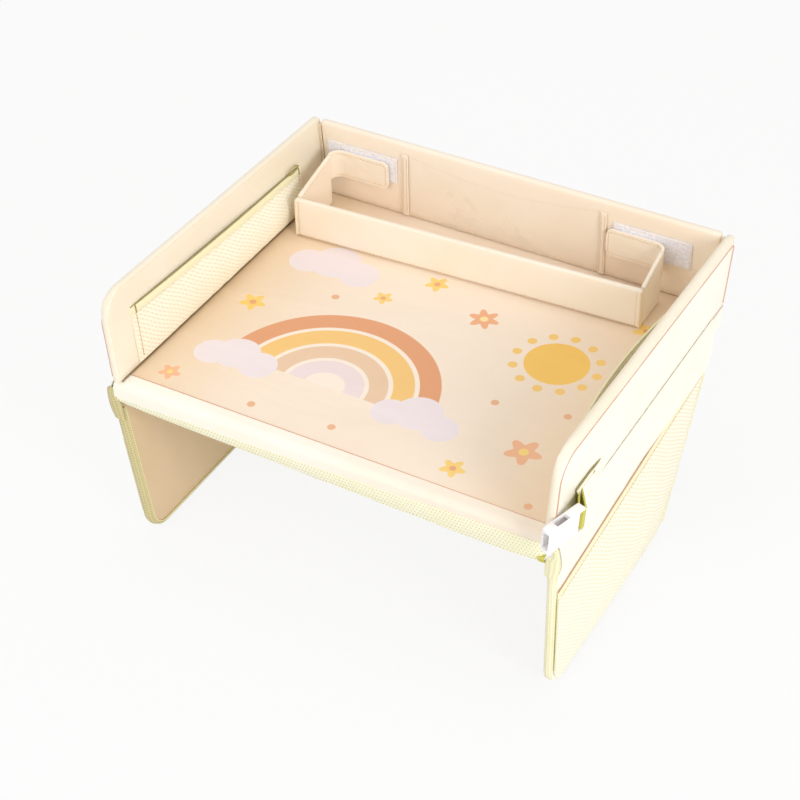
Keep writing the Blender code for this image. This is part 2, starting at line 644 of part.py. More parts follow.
def build_outer_pocket(side_name, side, hinge):
    """The mesh pocket on the leg's outer face: its hem climbs from front to back."""
    face = LEG_THICKNESS + CLEARANCE + MESH / 2
    slope = (LEG_TOP_END - LEG_BOTTOM_END) / LEG_LENGTH
    front = LEG_FRONT_SETBACK + OUTER_POCKET_MARGIN
    foot = -LEG_LENGTH + OUTER_POCKET_MARGIN
    foot_end = LEG_BOTTOM_END - OUTER_POCKET_MARGIN
    rear_top = LEG_TOP_END - OUTER_POCKET_MARGIN - slope * OUTER_POCKET_REAR_DROP
    turn = math.atan2(LEG_LENGTH, LEG_TOP_END - LEG_BOTTOM_END)
    arc_start = LEG_BOTTOM_END - LEG_REAR_RADIUS * math.tan(turn / 2)

    def corner_lift(u):
        along = (foot_end - front) * u
        front_span = max(0.0, 1 - along / LEG_FRONT_RADIUS)
        rear_span = max(0.0, front + along - arc_start) / LEG_REAR_RADIUS
        lift = LEG_FRONT_RADIUS * (1 - math.sqrt(1 - front_span ** 2))
        return lift + LEG_REAR_RADIUS * (1 - math.sqrt(1 - rear_span ** 2))

    def surface(u, v, lift=0.0, extra=0.0):
        low = Vector((front + (foot_end - front) * u, foot + corner_lift(u)))
        high = Vector((front + (rear_top - front) * u,
                       -OUTER_POCKET_FRONT_DROP + (OUTER_POCKET_FRONT_DROP - OUTER_POCKET_REAR_DROP) * u))
        place = low.lerp(high, v)
        along = max(0.0, math.sin(math.pi * u)) ** OUTER_FULLNESS_ALONG
        up = max(0.0, math.sin(math.pi * OUTER_HEM_SHARE * v)) ** OUTER_FULLNESS_UP
        depth = face + OUTER_POCKET_BULGE * along * up + gather(u, v) + extra
        return (side * depth, place.x, place.y + lift)

    sheet(side_name + "_outer_pocket", POCKET_COLUMNS, OUTER_POCKET_ROWS, surface, MESH, hinge,
          "yellow_air_mesh")

    def hem(u, v):
        return surface(u, 1.0, CLEARANCE + MESH / 2 + OUTER_HEM_WIDTH * v, (HEM_THICKNESS - MESH) / 2)
    sheet(side_name + "_outer_pocket_hem", POCKET_COLUMNS, 1, hem, HEM_THICKNESS, hinge, "yellow_elastic")


def build_organiser(frame):
    """Fold-up organiser: front panel, two ends and the two tabs that stick to the wall."""
    run = Vector((ORGANISER_RIGHT - ORGANISER_LEFT, ORGANISER_LEFT_GAP - ORGANISER_RIGHT_GAP))
    skew = math.atan2(run.y, run.x)
    length = run.length
    front = pivot("organiser_front_hinge", frame,
                  (ORGANISER_LEFT, TRAY_DEPTH - ORGANISER_LEFT_GAP, CLEARANCE), skew, "Z")
    middle = (0, ORGANISER_THICKNESS / 2, 0)
    cover = plate("organiser_front_cover", box_outline(0, 0, length, ORGANISER_HEIGHT), ORGANISER_THICKNESS,
                  FACE_Y, middle, front, "coated_cream_cloth", EDGE_ROUND)
    hollow = box_outline(FABRIC, -OVERRUN, length - FABRIC, ORGANISER_HEIGHT - FABRIC)
    cut(cover, "organiser_front_sleeve", hollow, ORGANISER_THICKNESS - 2 * FABRIC, FACE_Y, middle, front)
    gap = FABRIC + CLEARANCE
    stiffener = box_outline(gap, CLEARANCE, length - gap, ORGANISER_HEIGHT - gap)
    plate("organiser_front_stiffener", stiffener, ORGANISER_THICKNESS - 2 * gap, FACE_Y, middle, front,
          "white_foam")
    for side_name, side in SIDES.items():
        corner = END_THICKNESS if side < 0 else length - END_THICKNESS
        build_organiser_end(side_name, side, front, corner, skew)


def build_organiser_end(side_name, side, front, corner, skew):
    """One end panel with its tab, both turned square to the tray."""
    end = pivot("organiser_" + side_name + "_end_hinge", front,
                (corner, ORGANISER_THICKNESS + PEEL_GAP, 0), -skew, "Z")
    turned = Matrix.Rotation(skew, 2) @ Vector((corner, ORGANISER_THICKNESS + PEEL_GAP))
    tab_back = ORGANISER_LEFT_GAP - 2 * TAPE - 2 * CLEARANCE - PEEL_GAP
    reach = tab_back - TAB_CORNER_RADIUS - turned.y
    end_outline = round_corners([
        (CLEARANCE, 0, 0), (reach, 0, 0), (reach, ORGANISER_REAR_HEIGHT, 0),
        (CLEARANCE, ORGANISER_HEIGHT, 0)])
    plate("organiser_" + side_name + "_end", end_outline, END_THICKNESS, FACE_X,
          (side * END_THICKNESS / 2, 0, 0), end, "coated_cream_cloth", FABRIC)

    corner_edge = (side * END_THICKNESS, reach + CLEARANCE, 0)
    tab = pivot("organiser_" + side_name + "_tab_hinge", end, corner_edge, 0, "Z")
    window_edge = OFF_CENTRE + side * WINDOW_WIDTH / 2
    length = side * (ORGANISER_LEFT + turned.x - window_edge) + END_THICKNESS - TAB_WINDOW_GAPS[side_name]
    bend = TAB_CORNER_RADIUS - TAB_THICKNESS / 2
    line = arc((-TAB_CORNER_RADIUS, 0), bend, 0, 90)
    line += [(-length, bend)]
    outline = ribbon([(side * across, along) for across, along in line], TAB_THICKNESS)
    middle_up = ORGANISER_REAR_HEIGHT - TAB_HEIGHT / 2
    plate("organiser_" + side_name + "_tab", outline, TAB_HEIGHT, FACE_Z, (0, 0, middle_up), tab,
          "coated_cream_cloth")
    hook = box_outline(-length + HOOK_MARGIN, -TAB_HEIGHT / 2 + TAPE, -TAB_CORNER_RADIUS,
                       TAB_HEIGHT / 2 - TAPE)
    if side < 0:
        hook = [Vector((-point.x, point.y)) for point in hook]
    plate("organiser_" + side_name + "_tab_hook", hook, TAPE, FACE_Y,
          (0, TAB_CORNER_RADIUS + CLEARANCE + TAPE / 2, middle_up), tab, "white_loop_tape")


def stand_on_origin(frame):
    """Move the tray so that the middle of its lowest level is the origin."""
    bpy.context.view_layer.update()
    graph = bpy.context.evaluated_depsgraph_get()
    corners = []
    for thing in PARTS.objects:
        if thing.type == "MESH":
            solid = thing.evaluated_get(graph)
            corners += [solid.matrix_world @ vert.co for vert in solid.data.vertices]
    for axis in (0, 1):
        values = [corner[axis] for corner in corners]
        frame.location[axis] -= (min(values) + max(values)) / 2
    frame.location.z -= min(corner.z for corner in corners)


clear_scene()
PARTS = new_collection("car_seat_tray_table")
CUTTERS = new_collection("cutters")
tray = pivot("tray_frame", None, (0, 0, 0))
build_base(tray)
for wall_name, wall_side in SIDES.items():
    build_side_wall(wall_name, wall_side, tray)
    build_leg(wall_name, wall_side, tray)
build_back_wall(tray)
build_organiser(tray)
stand_on_origin(tray)
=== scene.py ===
"""Looks of the folding tray table for a child's car seat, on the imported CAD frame."""
import json
import math
import bpy
from mathutils import Matrix, Vector, noise


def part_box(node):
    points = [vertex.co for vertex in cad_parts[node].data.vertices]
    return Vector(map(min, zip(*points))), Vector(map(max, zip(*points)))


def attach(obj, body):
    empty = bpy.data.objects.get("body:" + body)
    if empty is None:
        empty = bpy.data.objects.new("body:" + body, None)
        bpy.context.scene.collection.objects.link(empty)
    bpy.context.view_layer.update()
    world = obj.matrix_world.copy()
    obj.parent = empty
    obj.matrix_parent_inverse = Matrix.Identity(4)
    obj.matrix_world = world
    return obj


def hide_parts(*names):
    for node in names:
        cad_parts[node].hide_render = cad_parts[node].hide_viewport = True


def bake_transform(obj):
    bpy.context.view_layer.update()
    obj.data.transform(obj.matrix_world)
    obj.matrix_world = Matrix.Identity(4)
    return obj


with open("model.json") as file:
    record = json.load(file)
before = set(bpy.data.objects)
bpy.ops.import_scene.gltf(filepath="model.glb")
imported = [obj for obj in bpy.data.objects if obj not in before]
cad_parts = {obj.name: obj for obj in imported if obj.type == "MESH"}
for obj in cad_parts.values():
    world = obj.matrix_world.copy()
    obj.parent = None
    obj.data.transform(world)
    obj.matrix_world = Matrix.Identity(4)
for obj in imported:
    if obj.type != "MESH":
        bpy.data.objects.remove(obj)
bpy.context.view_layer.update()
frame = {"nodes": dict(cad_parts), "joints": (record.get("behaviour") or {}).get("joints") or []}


# ---- Camera, lamps and floor ----
# The photograph looks down on the tray from its right front corner through a long lens.
# Every place below is counted from the middle of the tray's front edge, at its top face.
hinges = {joint["name"]: Vector(joint["pos_m"]) for joint in frame["joints"]}
top_low, top_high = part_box("tray_top_fabric")
band_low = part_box("front_band")[0]
tray = Vector(((top_low.x + top_high.x) / 2, band_low.y, top_high.z))

camera = bpy.data.objects.new("camera", bpy.data.cameras.new("camera"))
bpy.context.scene.collection.objects.link(camera)
focal_length, sensor_width = 89.01, 36
camera.data.lens = focal_length
camera.data.sensor_width = sensor_width
camera_place = tray + Vector((0.6498, -0.9933, 1.0242))
camera_axes = ((0.87141, 0.49028, -0.0163), (-0.29911, 0.55737, 0.77451), (0.38881, -0.67004, 0.63235))
camera.matrix_world = Matrix.Translation(camera_place) @ Matrix(camera_axes).transposed().to_4x4()
bpy.context.scene.camera = camera
bpy.context.scene.view_settings.view_transform = "Standard"


def linear(colour):
    """Turn an sRGB hex colour such as #FBE6C6 to linear red, green, blue and alpha."""
    parts = [int(colour[place:place + 2], 16) / 255 for place in (1, 3, 5)]
    parts = [part / 12.92 if part <= 0.04045 else ((part + 0.055) / 1.055) ** 2.4 for part in parts]
    return (*parts, 1.0)


def add_node(tree, kind, settings=None, inputs=None):
    """Add one node with its settings, its values and its links."""
    node = tree.nodes.new(kind)
    for name, value in (settings or {}).items():
        setattr(node, name, value)
    for name, value in (inputs or {}).items():
        if isinstance(value, bpy.types.NodeSocket):
            tree.links.new(value, node.inputs[name])
        else:
            node.inputs[name].default_value = value
    return node


aim = Vector((0, 0, 0.1))
for name, place, size, power, tint in (
        ("key_lamp", (2.1, -1.0, 1.15), 1.2, 25.8, (1.0, 0.995, 0.975)),
        ("fill_lamp", (-0.7, -1.9, 1.2), 1.8, 10.0, (1.0, 0.995, 0.985)),
        ("top_lamp", (-0.3, 0.2, 2.3), 1.6, 9.0, (1.0, 0.995, 0.99))):
    lamp = bpy.data.objects.new(name, bpy.data.lights.new(name, "AREA"))
    bpy.context.scene.collection.objects.link(lamp)
    lamp.data.shape = "DISK"
    lamp.data.size = size
    lamp.data.energy = power
    lamp.data.color = tint
    lamp.location = place
    lamp.rotation_euler = (Vector(place) - aim).to_track_quat("Z", "Y").to_euler()


def seen_white(tree, strength):
    """A factor that is strength for a ray from the camera, a mirror or a clear film, and else 0."""
    path = add_node(tree, "ShaderNodeLightPath")
    shiny = add_node(tree, "ShaderNodeMath", {"operation": "MAXIMUM"},
                     {0: path.outputs["Is Glossy Ray"], 1: path.outputs["Is Transmission Ray"]})
    seen = add_node(tree, "ShaderNodeMath", {"operation": "MAXIMUM"},
                    {0: path.outputs["Is Camera Ray"], 1: shiny.outputs[0]})
    share = add_node(tree, "ShaderNodeMath", {"operation": "MULTIPLY"}, {0: seen.outputs[0], 1: strength})
    return share.outputs[0]


# The paper behind and below the tray: white to the eye, dimmer as a lamp
paper_white = linear("#FBFBFB")
world = bpy.data.worlds.new("studio")
bpy.context.scene.world = world
world.use_nodes = True
world.node_tree.nodes.clear()
room = add_node(world.node_tree, "ShaderNodeBackground",
                inputs={"Color": (1.0, 0.99, 0.975, 1), "Strength": 0.6})
wall = add_node(world.node_tree, "ShaderNodeBackground", inputs={"Color": paper_white, "Strength": 1.0})
mixed = add_node(world.node_tree, "ShaderNodeMixShader",
                 inputs={0: seen_white(world.node_tree, 1.0), 1: room.outputs[0], 2: wall.outputs[0]})
add_node(world.node_tree, "ShaderNodeOutputWorld", inputs={"Surface": mixed.outputs[0]})

floor_size, floor_height = 30, -0.0004
bpy.ops.mesh.primitive_plane_add(size=floor_size, location=(0, 0, floor_height))
floor = bpy.context.object
floor.name = "studio_floor"
paper = bpy.data.materials.new("matt_white_paper")
paper.use_nodes = True
paper.node_tree.nodes.clear()
matt = add_node(paper.node_tree, "ShaderNodeBsdfDiffuse", inputs={"Color": (0.9, 0.9, 0.9, 1)})
glow = add_node(paper.node_tree, "ShaderNodeEmission", inputs={"Color": paper_white, "Strength": 1.02})
mixed = add_node(paper.node_tree, "ShaderNodeMixShader",
                 inputs={0: seen_white(paper.node_tree, 0.88), 1: matt.outputs[0], 2: glow.outputs[0]})
add_node(paper.node_tree, "ShaderNodeOutputMaterial", inputs={"Surface": mixed.outputs[0]})
floor.data.materials.append(paper)


# ---- Boards inside the base, the walls and the leg flaps ----
# Hollow polypropylene sheet, extruded with close ribs, cut to shape and slid into its sleeve.
# It only shows as the stiffness of the cloth, so it keeps the CAD shape.
def start_material(name, roughness):
    """Begin a material: its node tree and its shader, which is already on the output."""
    material = bpy.data.materials.new(name)
    material.use_nodes = True
    shader = material.node_tree.nodes["Principled BSDF"]
    shader.inputs["Roughness"].default_value = roughness
    return material, material.node_tree, shader


def two_tone(tree, shader, share, face, shade, strength, distance, height):
    """End a material: its colour goes from face to shade by share, and height raises its surface."""
    colour = add_node(tree, "ShaderNodeMix", {"data_type": "RGBA"},
                      {0: share, 6: linear(face), 7: linear(shade)})
    tree.links.new(colour.outputs[2], shader.inputs["Base Color"])
    rise = add_node(tree, "ShaderNodeBump",
                    inputs={"Strength": strength, "Distance": distance, "Height": height})
    tree.links.new(rise.outputs[0], shader.inputs["Normal"])


hollow_board, tree, shader = start_material("extruded_polypropylene_hollow_board", 0.45)
space = add_node(tree, "ShaderNodeTexCoord")
ribs = add_node(tree, "ShaderNodeTexWave", {"wave_type": "BANDS", "bands_direction": "Y"},
                {"Vector": space.outputs["Object"], "Scale": 55.0, "Distortion": 0.4})
two_tone(tree, shader, ribs.outputs["Fac"], "#A9A8A2", "#C6C5BF", 0.4, 0.0004, ribs.outputs["Fac"])
for name in ("tray_board", "left_wall_board", "right_wall_board", "back_wall_board", "left_leg_board",
             "right_leg_board"):
    frame["nodes"][name].data.materials.clear()
    frame["nodes"][name].data.materials.append(hollow_board)


# ---- Lap pad under the tray ----
# A slab of soft polyether foam gives the underside its crown; knitted spacer mesh in pale
# yellow covers it and shows as a dotted strip under the front edge.
def shaped_grid(name, columns, rows, width, height, place, flat=None):
    """A grid whose points go to place(u, v), with a UV map that counts in metres of flat cloth."""
    bpy.ops.mesh.primitive_grid_add(x_subdivisions=columns, y_subdivisions=rows, size=1)
    piece = bpy.context.object
    piece.name = name
    for point in piece.data.uv_layers[0].data:
        point.uv = flat(*point.uv) if flat else (point.uv[0] * width, point.uv[1] * height)
    for vert in piece.data.vertices:
        vert.co = place(vert.co.x + 0.5, vert.co.y + 0.5)
    return piece


def give_thickness(piece, thickness):
    """Turn a sheet to a closed solid of that thickness, smooth apart from its edges."""
    stock = piece.modifiers.new("stock", "SOLIDIFY")
    stock.thickness = thickness
    stock.offset = 0
    bpy.context.view_layer.objects.active = piece
    bpy.ops.object.modifier_apply(modifier="stock")
    bpy.ops.object.select_all(action="DESELECT")
    piece.select_set(True)
    bpy.ops.object.shade_smooth_by_angle(angle=math.radians(50))


def hand_over(piece, material, slot, body, *nodes):
    """Give a finished piece its material and set it on its CAD body; its record slot is not used."""
    piece.data.materials.clear()
    piece.data.materials.append(material)
    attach(piece, body)
    if nodes:
        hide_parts(*nodes)


def knit_mesh(name, thread, hole, across_pitch, along_pitch, wave, open_from, bias=0.0, diagonals=1.0,
              worn_to="#FDFBEA"):
    """Knitted polyester mesh on the cloth's own UV map, cut on the bias: rows of holes, waving a little."""
    material, tree, shader = start_material(name, 0.82)
    shader.inputs["Sheen Weight"].default_value = 0.25
    space = add_node(tree, "ShaderNodeTexCoord")
    turned = add_node(tree, "ShaderNodeVectorRotate", {"rotation_type": "Z_AXIS"},
                      {"Vector": space.outputs["UV"], "Angle": bias})
    scaled = add_node(tree, "ShaderNodeVectorMath", {"operation": "MULTIPLY"},
                      {0: turned.outputs[0], 1: (2 * math.pi / across_pitch, 2 * math.pi / along_pitch, 0)})
    apart = add_node(tree, "ShaderNodeSeparateXYZ", inputs={0: scaled.outputs[0]})
    slow = add_node(tree, "ShaderNodeMath", {"operation": "MULTIPLY"}, {0: apart.outputs[0], 1: 0.125})
    sway = add_node(tree, "ShaderNodeMath", {"operation": "SINE"}, {0: slow.outputs[0]})
    row = add_node(tree, "ShaderNodeMath", {"operation": "MULTIPLY_ADD"},
                   {0: sway.outputs[0], 1: wave, 2: apart.outputs[1]})
    across = add_node(tree, "ShaderNodeMath", {"operation": "COSINE"}, {0: row.outputs[0]})
    total = across.outputs[0]
    for lean in (0.5, -0.5):
        slant = add_node(tree, "ShaderNodeMath", {"operation": "MULTIPLY_ADD"},
                         {0: row.outputs[0], 1: lean, 2: apart.outputs[0]})
        ripple = add_node(tree, "ShaderNodeMath", {"operation": "COSINE"}, {0: slant.outputs[0]})
        total = add_node(tree, "ShaderNodeMath", {"operation": "MULTIPLY_ADD"},
                         {0: ripple.outputs[0], 1: diagonals, 2: total}).outputs[0]
    holes = add_node(tree, "ShaderNodeMapRange", {"interpolation_type": "SMOOTHSTEP"},
                     {0: total, 1: open_from, 2: open_from + 1.7, 3: 0.0, 4: 1.0})
    faded = add_node(tree, "ShaderNodeTexNoise", inputs={"Vector": space.outputs["Object"], "Scale": 26.0})
    worn = add_node(tree, "ShaderNodeMix", {"data_type": "RGBA"},
                    {0: faded.outputs[0], 6: linear(thread), 7: linear(worn_to)})
    shade = add_node(tree, "ShaderNodeMix", {"data_type": "RGBA"},
                     {0: holes.outputs[0], 6: worn.outputs[2], 7: linear(hole)})
    tree.links.new(shade.outputs[2], shader.inputs["Base Color"])
    rise = add_node(tree, "ShaderNodeBump", {"invert": True},
                    {"Strength": 0.5, "Distance": 0.0004, "Height": holes.outputs[0]})
    tree.links.new(rise.outputs[0], shader.inputs["Normal"])
    return material


# Warp-knitted spacer mesh: its holes are 2.5 mm apart, drawn 3.0 mm apart so that they show
spacer_mesh = knit_mesh("knitted_spacer_mesh", "#FAF6CF", "#E2D893", 0.0030, 0.0030, 0.5, 0.66)

half_width = (top_high.x - top_low.x) / 2
base_depth = top_high.y - tray.y
base_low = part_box("underside_mesh")[0].z - tray.z
band_drop = tray.z - band_low.z
band_rise = 0.0095
pad_squareness = 7
quilt_depth = 0.0005
lip_drop, lip_forward, lip_reach = 0.0105, 0.0012, 0.0024
lip_end, lip_end_fade = 0.1972, 0.004


def band_lift(across):
    """How much higher the front band ends towards the right, where more of the mesh shows."""
    return band_rise * max(0.0, 0.5 + 0.5 * across / half_width) ** 1.5


def pad_place(inset, rim, lowest):
    """The crowned underside: flat in the middle, rolling up to its rim, steeply along the front.

    Its front edge is a lip that hangs lower towards the right and stays in front of the flaps.
    """
    def place(u, v):
        across = math.sin(math.pi * (u - 0.5))
        along = math.sin(math.pi * (v - 0.5))
        steep = 2.4 * pad_squareness if along < 0 else pad_squareness
        swell = ((1 - abs(across) ** pad_squareness) ** (1 / pad_squareness)
                 * (1 - abs(along) ** steep) ** (1 / steep))
        rear = base_depth - inset
        quilt = quilt_depth * noise.noise(Vector((across * 9, along * 8, 4.0))) * swell
        back = (1 + along) / 2 * (rear - inset)
        clear_of_leg = max(0.0, min(1.0, (lip_end - abs(across) * half_width) / lip_end_fade))
        lip = (0.5 + 0.5 * across) * clear_of_leg * math.exp(-(back / lip_reach) ** 2)
        quilt += band_lift(across * half_width) * (1 - swell) * max(0.0, -along) ** 3 - lip_drop * swell * lip
        return tray + Vector((across * (half_width - inset), inset + back - lip_forward * lip,
                              rim + (lowest - rim) * swell + quilt))
    return place


def laid_flat(place, columns, rows):
    """UV places that count the real length of cloth along each column of a grid."""
    places = {}
    for column in range(columns + 1):
        last, run = place(column / columns, 0), 0.0
        for row in range(rows + 1):
            point = place(column / columns, row / rows)
            run += (point - last).length
            places[column, row] = point.x, run
            last = point
    return lambda u, v: places[round(u * columns), round(v * rows)]


spacer_thickness = 0.0014
spacer_place = pad_place(inset=0.0016, rim=0.0004 - band_drop, lowest=base_low + 0.0012)
underside = shaped_grid("underside_spacer_mesh", 72, 64, 0.43, 0.37, spacer_place,
                        laid_flat(spacer_place, 72, 64))
give_thickness(underside, spacer_thickness)
hand_over(underside, spacer_mesh, "yellow_air_mesh", "tray", "underside_mesh")

# Open-cell foam: matt off-white, with cells about a millimetre across
pad_foam, tree, shader = start_material("open_cell_polyether_foam", 0.95)
space = add_node(tree, "ShaderNodeTexCoord")
cells = add_node(tree, "ShaderNodeTexVoronoi", inputs={"Vector": space.outputs["Object"], "Scale": 900.0})
two_tone(tree, shader, cells.outputs["Distance"], "#E4E2DC", "#F6F5F1", 0.5, 0.0004,
         cells.outputs["Distance"])
slab_top = tray.z - 0.0050
slab = shaped_grid("lap_pad_slab", 48, 40, 0.4, 0.33,
                   pad_place(inset=0.0050, rim=0.0022 - band_drop, lowest=base_low + 0.0034))
bpy.ops.object.mode_set(mode="EDIT")
bpy.ops.mesh.select_all(action="SELECT")
bpy.ops.mesh.extrude_region_move()
bpy.ops.transform.resize(value=(1, 1, 0), center_override=(0, 0, slab_top))
bpy.ops.mesh.select_all(action="SELECT")
bpy.ops.mesh.normals_make_consistent(inside=False)
bpy.ops.object.mode_set(mode="OBJECT")
hand_over(slab, pad_foam, "white_foam", "tray", "lap_pad_foam")


# ---- Cream bands round the base ----
# Coated oxford cloth, sewn to the printed top and turned down over the board. The front one
# rolls over the edge, is sewn to the spacer mesh below it and has a thin red-brown seam on top.
def woven_cloth(name, face, shade, pitch, roughness, sheen):
    """Plain-woven cloth on its own UV map: threads pitch metres apart, uneven in tone."""
    material, tree, shader = start_material(name, roughness)
    shader.inputs["Sheen Weight"].default_value = sheen
    space = add_node(tree, "ShaderNodeTexCoord")
    scaled = add_node(tree, "ShaderNodeVectorMath", {"operation": "SCALE"},
                      {0: space.outputs["UV"], "Scale": math.pi / pitch})
    apart = add_node(tree, "ShaderNodeSeparateXYZ", inputs={0: scaled.outputs[0]})
    warp = add_node(tree, "ShaderNodeMath", {"operation": "SINE"}, {0: apart.outputs[0]})
    weft = add_node(tree, "ShaderNodeMath", {"operation": "SINE"}, {0: apart.outputs[1]})
    threads = add_node(tree, "ShaderNodeMath", {"operation": "MULTIPLY"},
                       {0: warp.outputs[0], 1: weft.outputs[0]})
    tone = add_node(tree, "ShaderNodeTexNoise",
                    inputs={"Vector": space.outputs["Object"], "Scale": 14.0, "Detail": 3.0})
    broad = add_node(tree, "ShaderNodeMapRange",
                     inputs={0: tone.outputs[0], 1: 0.3, 2: 0.75, 3: 0.0, 4: 0.55})
    fine = add_node(tree, "ShaderNodeMath", {"operation": "MULTIPLY_ADD"},
                    {0: threads.outputs[0], 1: 0.10, 2: broad.outputs[0]})
    two_tone(tree, shader, fine.outputs[0], face, shade, 0.22, 0.00015, threads.outputs[0])
    return material


# Coated polyester: half matt with a faint sheen. Its threads are 0.45 mm apart, drawn 0.9 mm
# apart so that the weave shows in the render
oxford_pitch, oxford_roughness, oxford_sheen = 0.0009, 0.5, 0.12
coated_cloth = woven_cloth("coated_polyester_oxford", "#FCEFDD", "#F8E2C9",
                           oxford_pitch, oxford_roughness, oxford_sheen)
# The side walls' inner cloth is a little yellower
wall_cloth = woven_cloth("coated_polyester_oxford_walls", "#FAF1DE", "#F6E5C9",
                         oxford_pitch, oxford_roughness, oxford_sheen)
# A paler copy of the same cloth, painted light for brightly lit faces: the bands round the base, the walls'
# and flaps' outer faces, the strap facings and the skirts
lit_pale_cloth = woven_cloth("coated_polyester_oxford_painted_lit", "#FEFBF0", "#FCF3DF",
                         oxford_pitch, oxford_roughness, oxford_sheen)


def along_line(line, share):
    """The point at a share of an open line's length, and the line's direction there."""
    lengths = [(end - start).length for start, end in zip(line, line[1:])]
    wanted = share * sum(lengths)
    for start, end, length in zip(line, line[1:], lengths):
        if wanted <= length or end is line[-1]:
            return start.lerp(end, min(1.0, wanted / length)), (end - start).normalized()
        wanted -= length


def rounded(corners, steps):
    """An open line through corners given as (along, up, radius), each with its radius."""
    line = [Vector(corners[0][:2])]
    for before, corner, after in zip(corners, corners[1:], corners[2:]):
        point = Vector(corner[:2])
        back = (Vector(before[:2]) - point).normalized()
        on = (Vector(after[:2]) - point).normalized()
        half = back.angle(on) / 2
        centre = point + (back + on).normalized() * corner[2] / math.sin(half)
        reach = corner[2] / math.tan(half)
        start, end = point + back * reach - centre, point + on * reach - centre
        line += [centre + start.lerp(end, step / steps).normalized() * corner[2]
                 for step in range(steps + 1)]
    line.append(Vector(corners[-1][:2]))
    return line


def sewn_line(name, points, radius, material, slot, body):
    """A thin round seam or piping along points."""
    spline = bpy.data.curves.new(name, "CURVE")
    spline.dimensions = "3D"
    spline.bevel_depth = radius
    spline.bevel_resolution = 1
    spline.use_fill_caps = True
    run = spline.splines.new("POLY")
    run.points.add(len(points) - 1)
    for knot, point in zip(run.points, points):
        knot.co = (*point, 1)
    seam = bpy.data.objects.new(name, spline)
    bpy.context.scene.collection.objects.link(seam)
    bpy.ops.object.select_all(action="DESELECT")
    seam.select_set(True)
    bpy.context.view_layer.objects.active = seam
    bpy.ops.object.convert(target="MESH")
    bpy.ops.object.shade_smooth()
    hand_over(bpy.context.object, material, slot, body)
    return bpy.context.object


def thread(name, colour, dark):
    """Twisted polyester sewing thread."""
    material, tree, shader = start_material(name, 0.6)
    space = add_node(tree, "ShaderNodeTexCoord")
    twist = add_node(tree, "ShaderNodeTexWave", {"bands_direction": "DIAGONAL"},
                     {"Vector": space.outputs["Object"], "Scale": 420.0})
    shade = add_node(tree, "ShaderNodeMix", {"data_type": "RGBA"},
                     {0: twist.outputs["Fac"], 6: linear(colour), 7: linear(dark)})
    tree.links.new(shade.outputs[2], shader.inputs["Base Color"])
    return material


seam_thread = thread("red_brown_sewing_thread", "#E6BBA0", "#CF9C80")
cream_thread = thread("cream_sewing_thread", "#FFF4DE", "#EBCFA3")

roll_radius = 0.007
front_setback = 0.0145
band_cloth, half_cloth = 0.0011, 0.0006
front_profile = rounded([(front_setback, -half_cloth, 0), (half_cloth, -half_cloth, roll_radius),
                         (half_cloth, -band_drop, 0)], 12)


def front_roll(u, v):
    """The rolled front band, a little slack between its stitches."""
    point, way = along_line(front_profile, v)
    slack = noise.noise(Vector((u * 46, v * 2, 1.0))) + 0.7 * noise.noise(Vector((u * 14, 0, 7.0)))
    inward = Vector((-way.y, way.x)) * 0.0004 * math.sin(math.pi * v) * (slack + 0.6)
    point = point + inward
    across = (u - 0.5) * 2 * half_width
    return tray + Vector((across, point.x, point.y * (1 - band_lift(across) / band_drop)))


# The front band's cloth is pale, and towards its right end it takes a warmer painted shade
front_cloth = woven_cloth("coated_polyester_oxford_front", "#FDFAEE", "#FBF2DD",
                          oxford_pitch, oxford_roughness, oxford_sheen)
tree, shader = front_cloth.node_tree, front_cloth.node_tree.nodes["Principled BSDF"]
plain = shader.inputs["Base Color"].links[0].from_socket
space = add_node(tree, "ShaderNodeTexCoord")
apart = add_node(tree, "ShaderNodeSeparateXYZ", inputs={0: space.outputs["Object"]})
right_shade_share = add_node(tree, "ShaderNodeMapRange", {"interpolation_type": "SMOOTHSTEP"},
                       {0: apart.outputs[0], 1: -0.10, 2: 0.20, 3: 0.0, 4: 0.8})
painted_right_shade = add_node(tree, "ShaderNodeMix", {"data_type": "RGBA"},
                  {0: right_shade_share.outputs[0], 6: plain, 7: linear("#F7E6D2")})
tree.links.new(painted_right_shade.outputs[2], shader.inputs["Base Color"])
front_band = shaped_grid("front_rolled_band", 180, 26, 2 * half_width, 0.028, front_roll)
give_thickness(front_band, band_cloth)
hand_over(front_band, front_cloth, "coated_cream_cloth", "tray", "front_band")
front_seam = [tray + Vector((across * half_width / 20, front_setback + 0.0004, 0.0001))
              for across in range(-19, 20)]
sewn_line("front_top_seam", front_seam, 0.00045, seam_thread, "coated_cream_cloth", "tray")

hinge_inset, side_band_top, side_band_front = 0.005, -0.0015, 0.0084
for side_name, side in (("left", -1), ("right", 1)):
    wrap_foot = base_low + half_cloth
    side_profile = rounded([(half_width - half_cloth, side_band_top, 0),
                            (half_width - half_cloth, wrap_foot, 0.0024),
                            (half_width - hinge_inset + 0.0018, wrap_foot, 0)], 6)

    def side_wrap(u, v):
        point = along_line(side_profile, v)[0]
        slack = 0.0003 * math.sin(math.pi * v) * noise.noise(Vector((u * 30, v * 3, 3.0 + side)))
        along = side_band_front + (base_depth - 0.0015 - side_band_front) * u
        return tray + Vector((side * (point.x - abs(slack)), along, point.y))

    band = shaped_grid(side_name + "_wrapped_band", 120, 18, 0.33, 0.026, side_wrap)
    give_thickness(band, band_cloth)
    hand_over(band, lit_pale_cloth, "coated_cream_cloth", "tray", side_name + "_side_band")


def rear_face(u, v):
    """The flat band behind the base."""
    slack = 0.0003 * math.sin(math.pi * v) * noise.noise(Vector((u * 34, v * 3, 9.0)))
    height = side_band_top + (base_low + 0.0045) * v
    return tray + Vector(((u - 0.5) * 2 * half_width, base_depth - half_cloth - abs(slack), height))


rear_band = shaped_grid("rear_sewn_band", 120, 10, 2 * half_width, 0.02, rear_face)
give_thickness(rear_band, band_cloth)
hand_over(rear_band, lit_pale_cloth, "coated_cream_cloth", "tray", "rear_band")


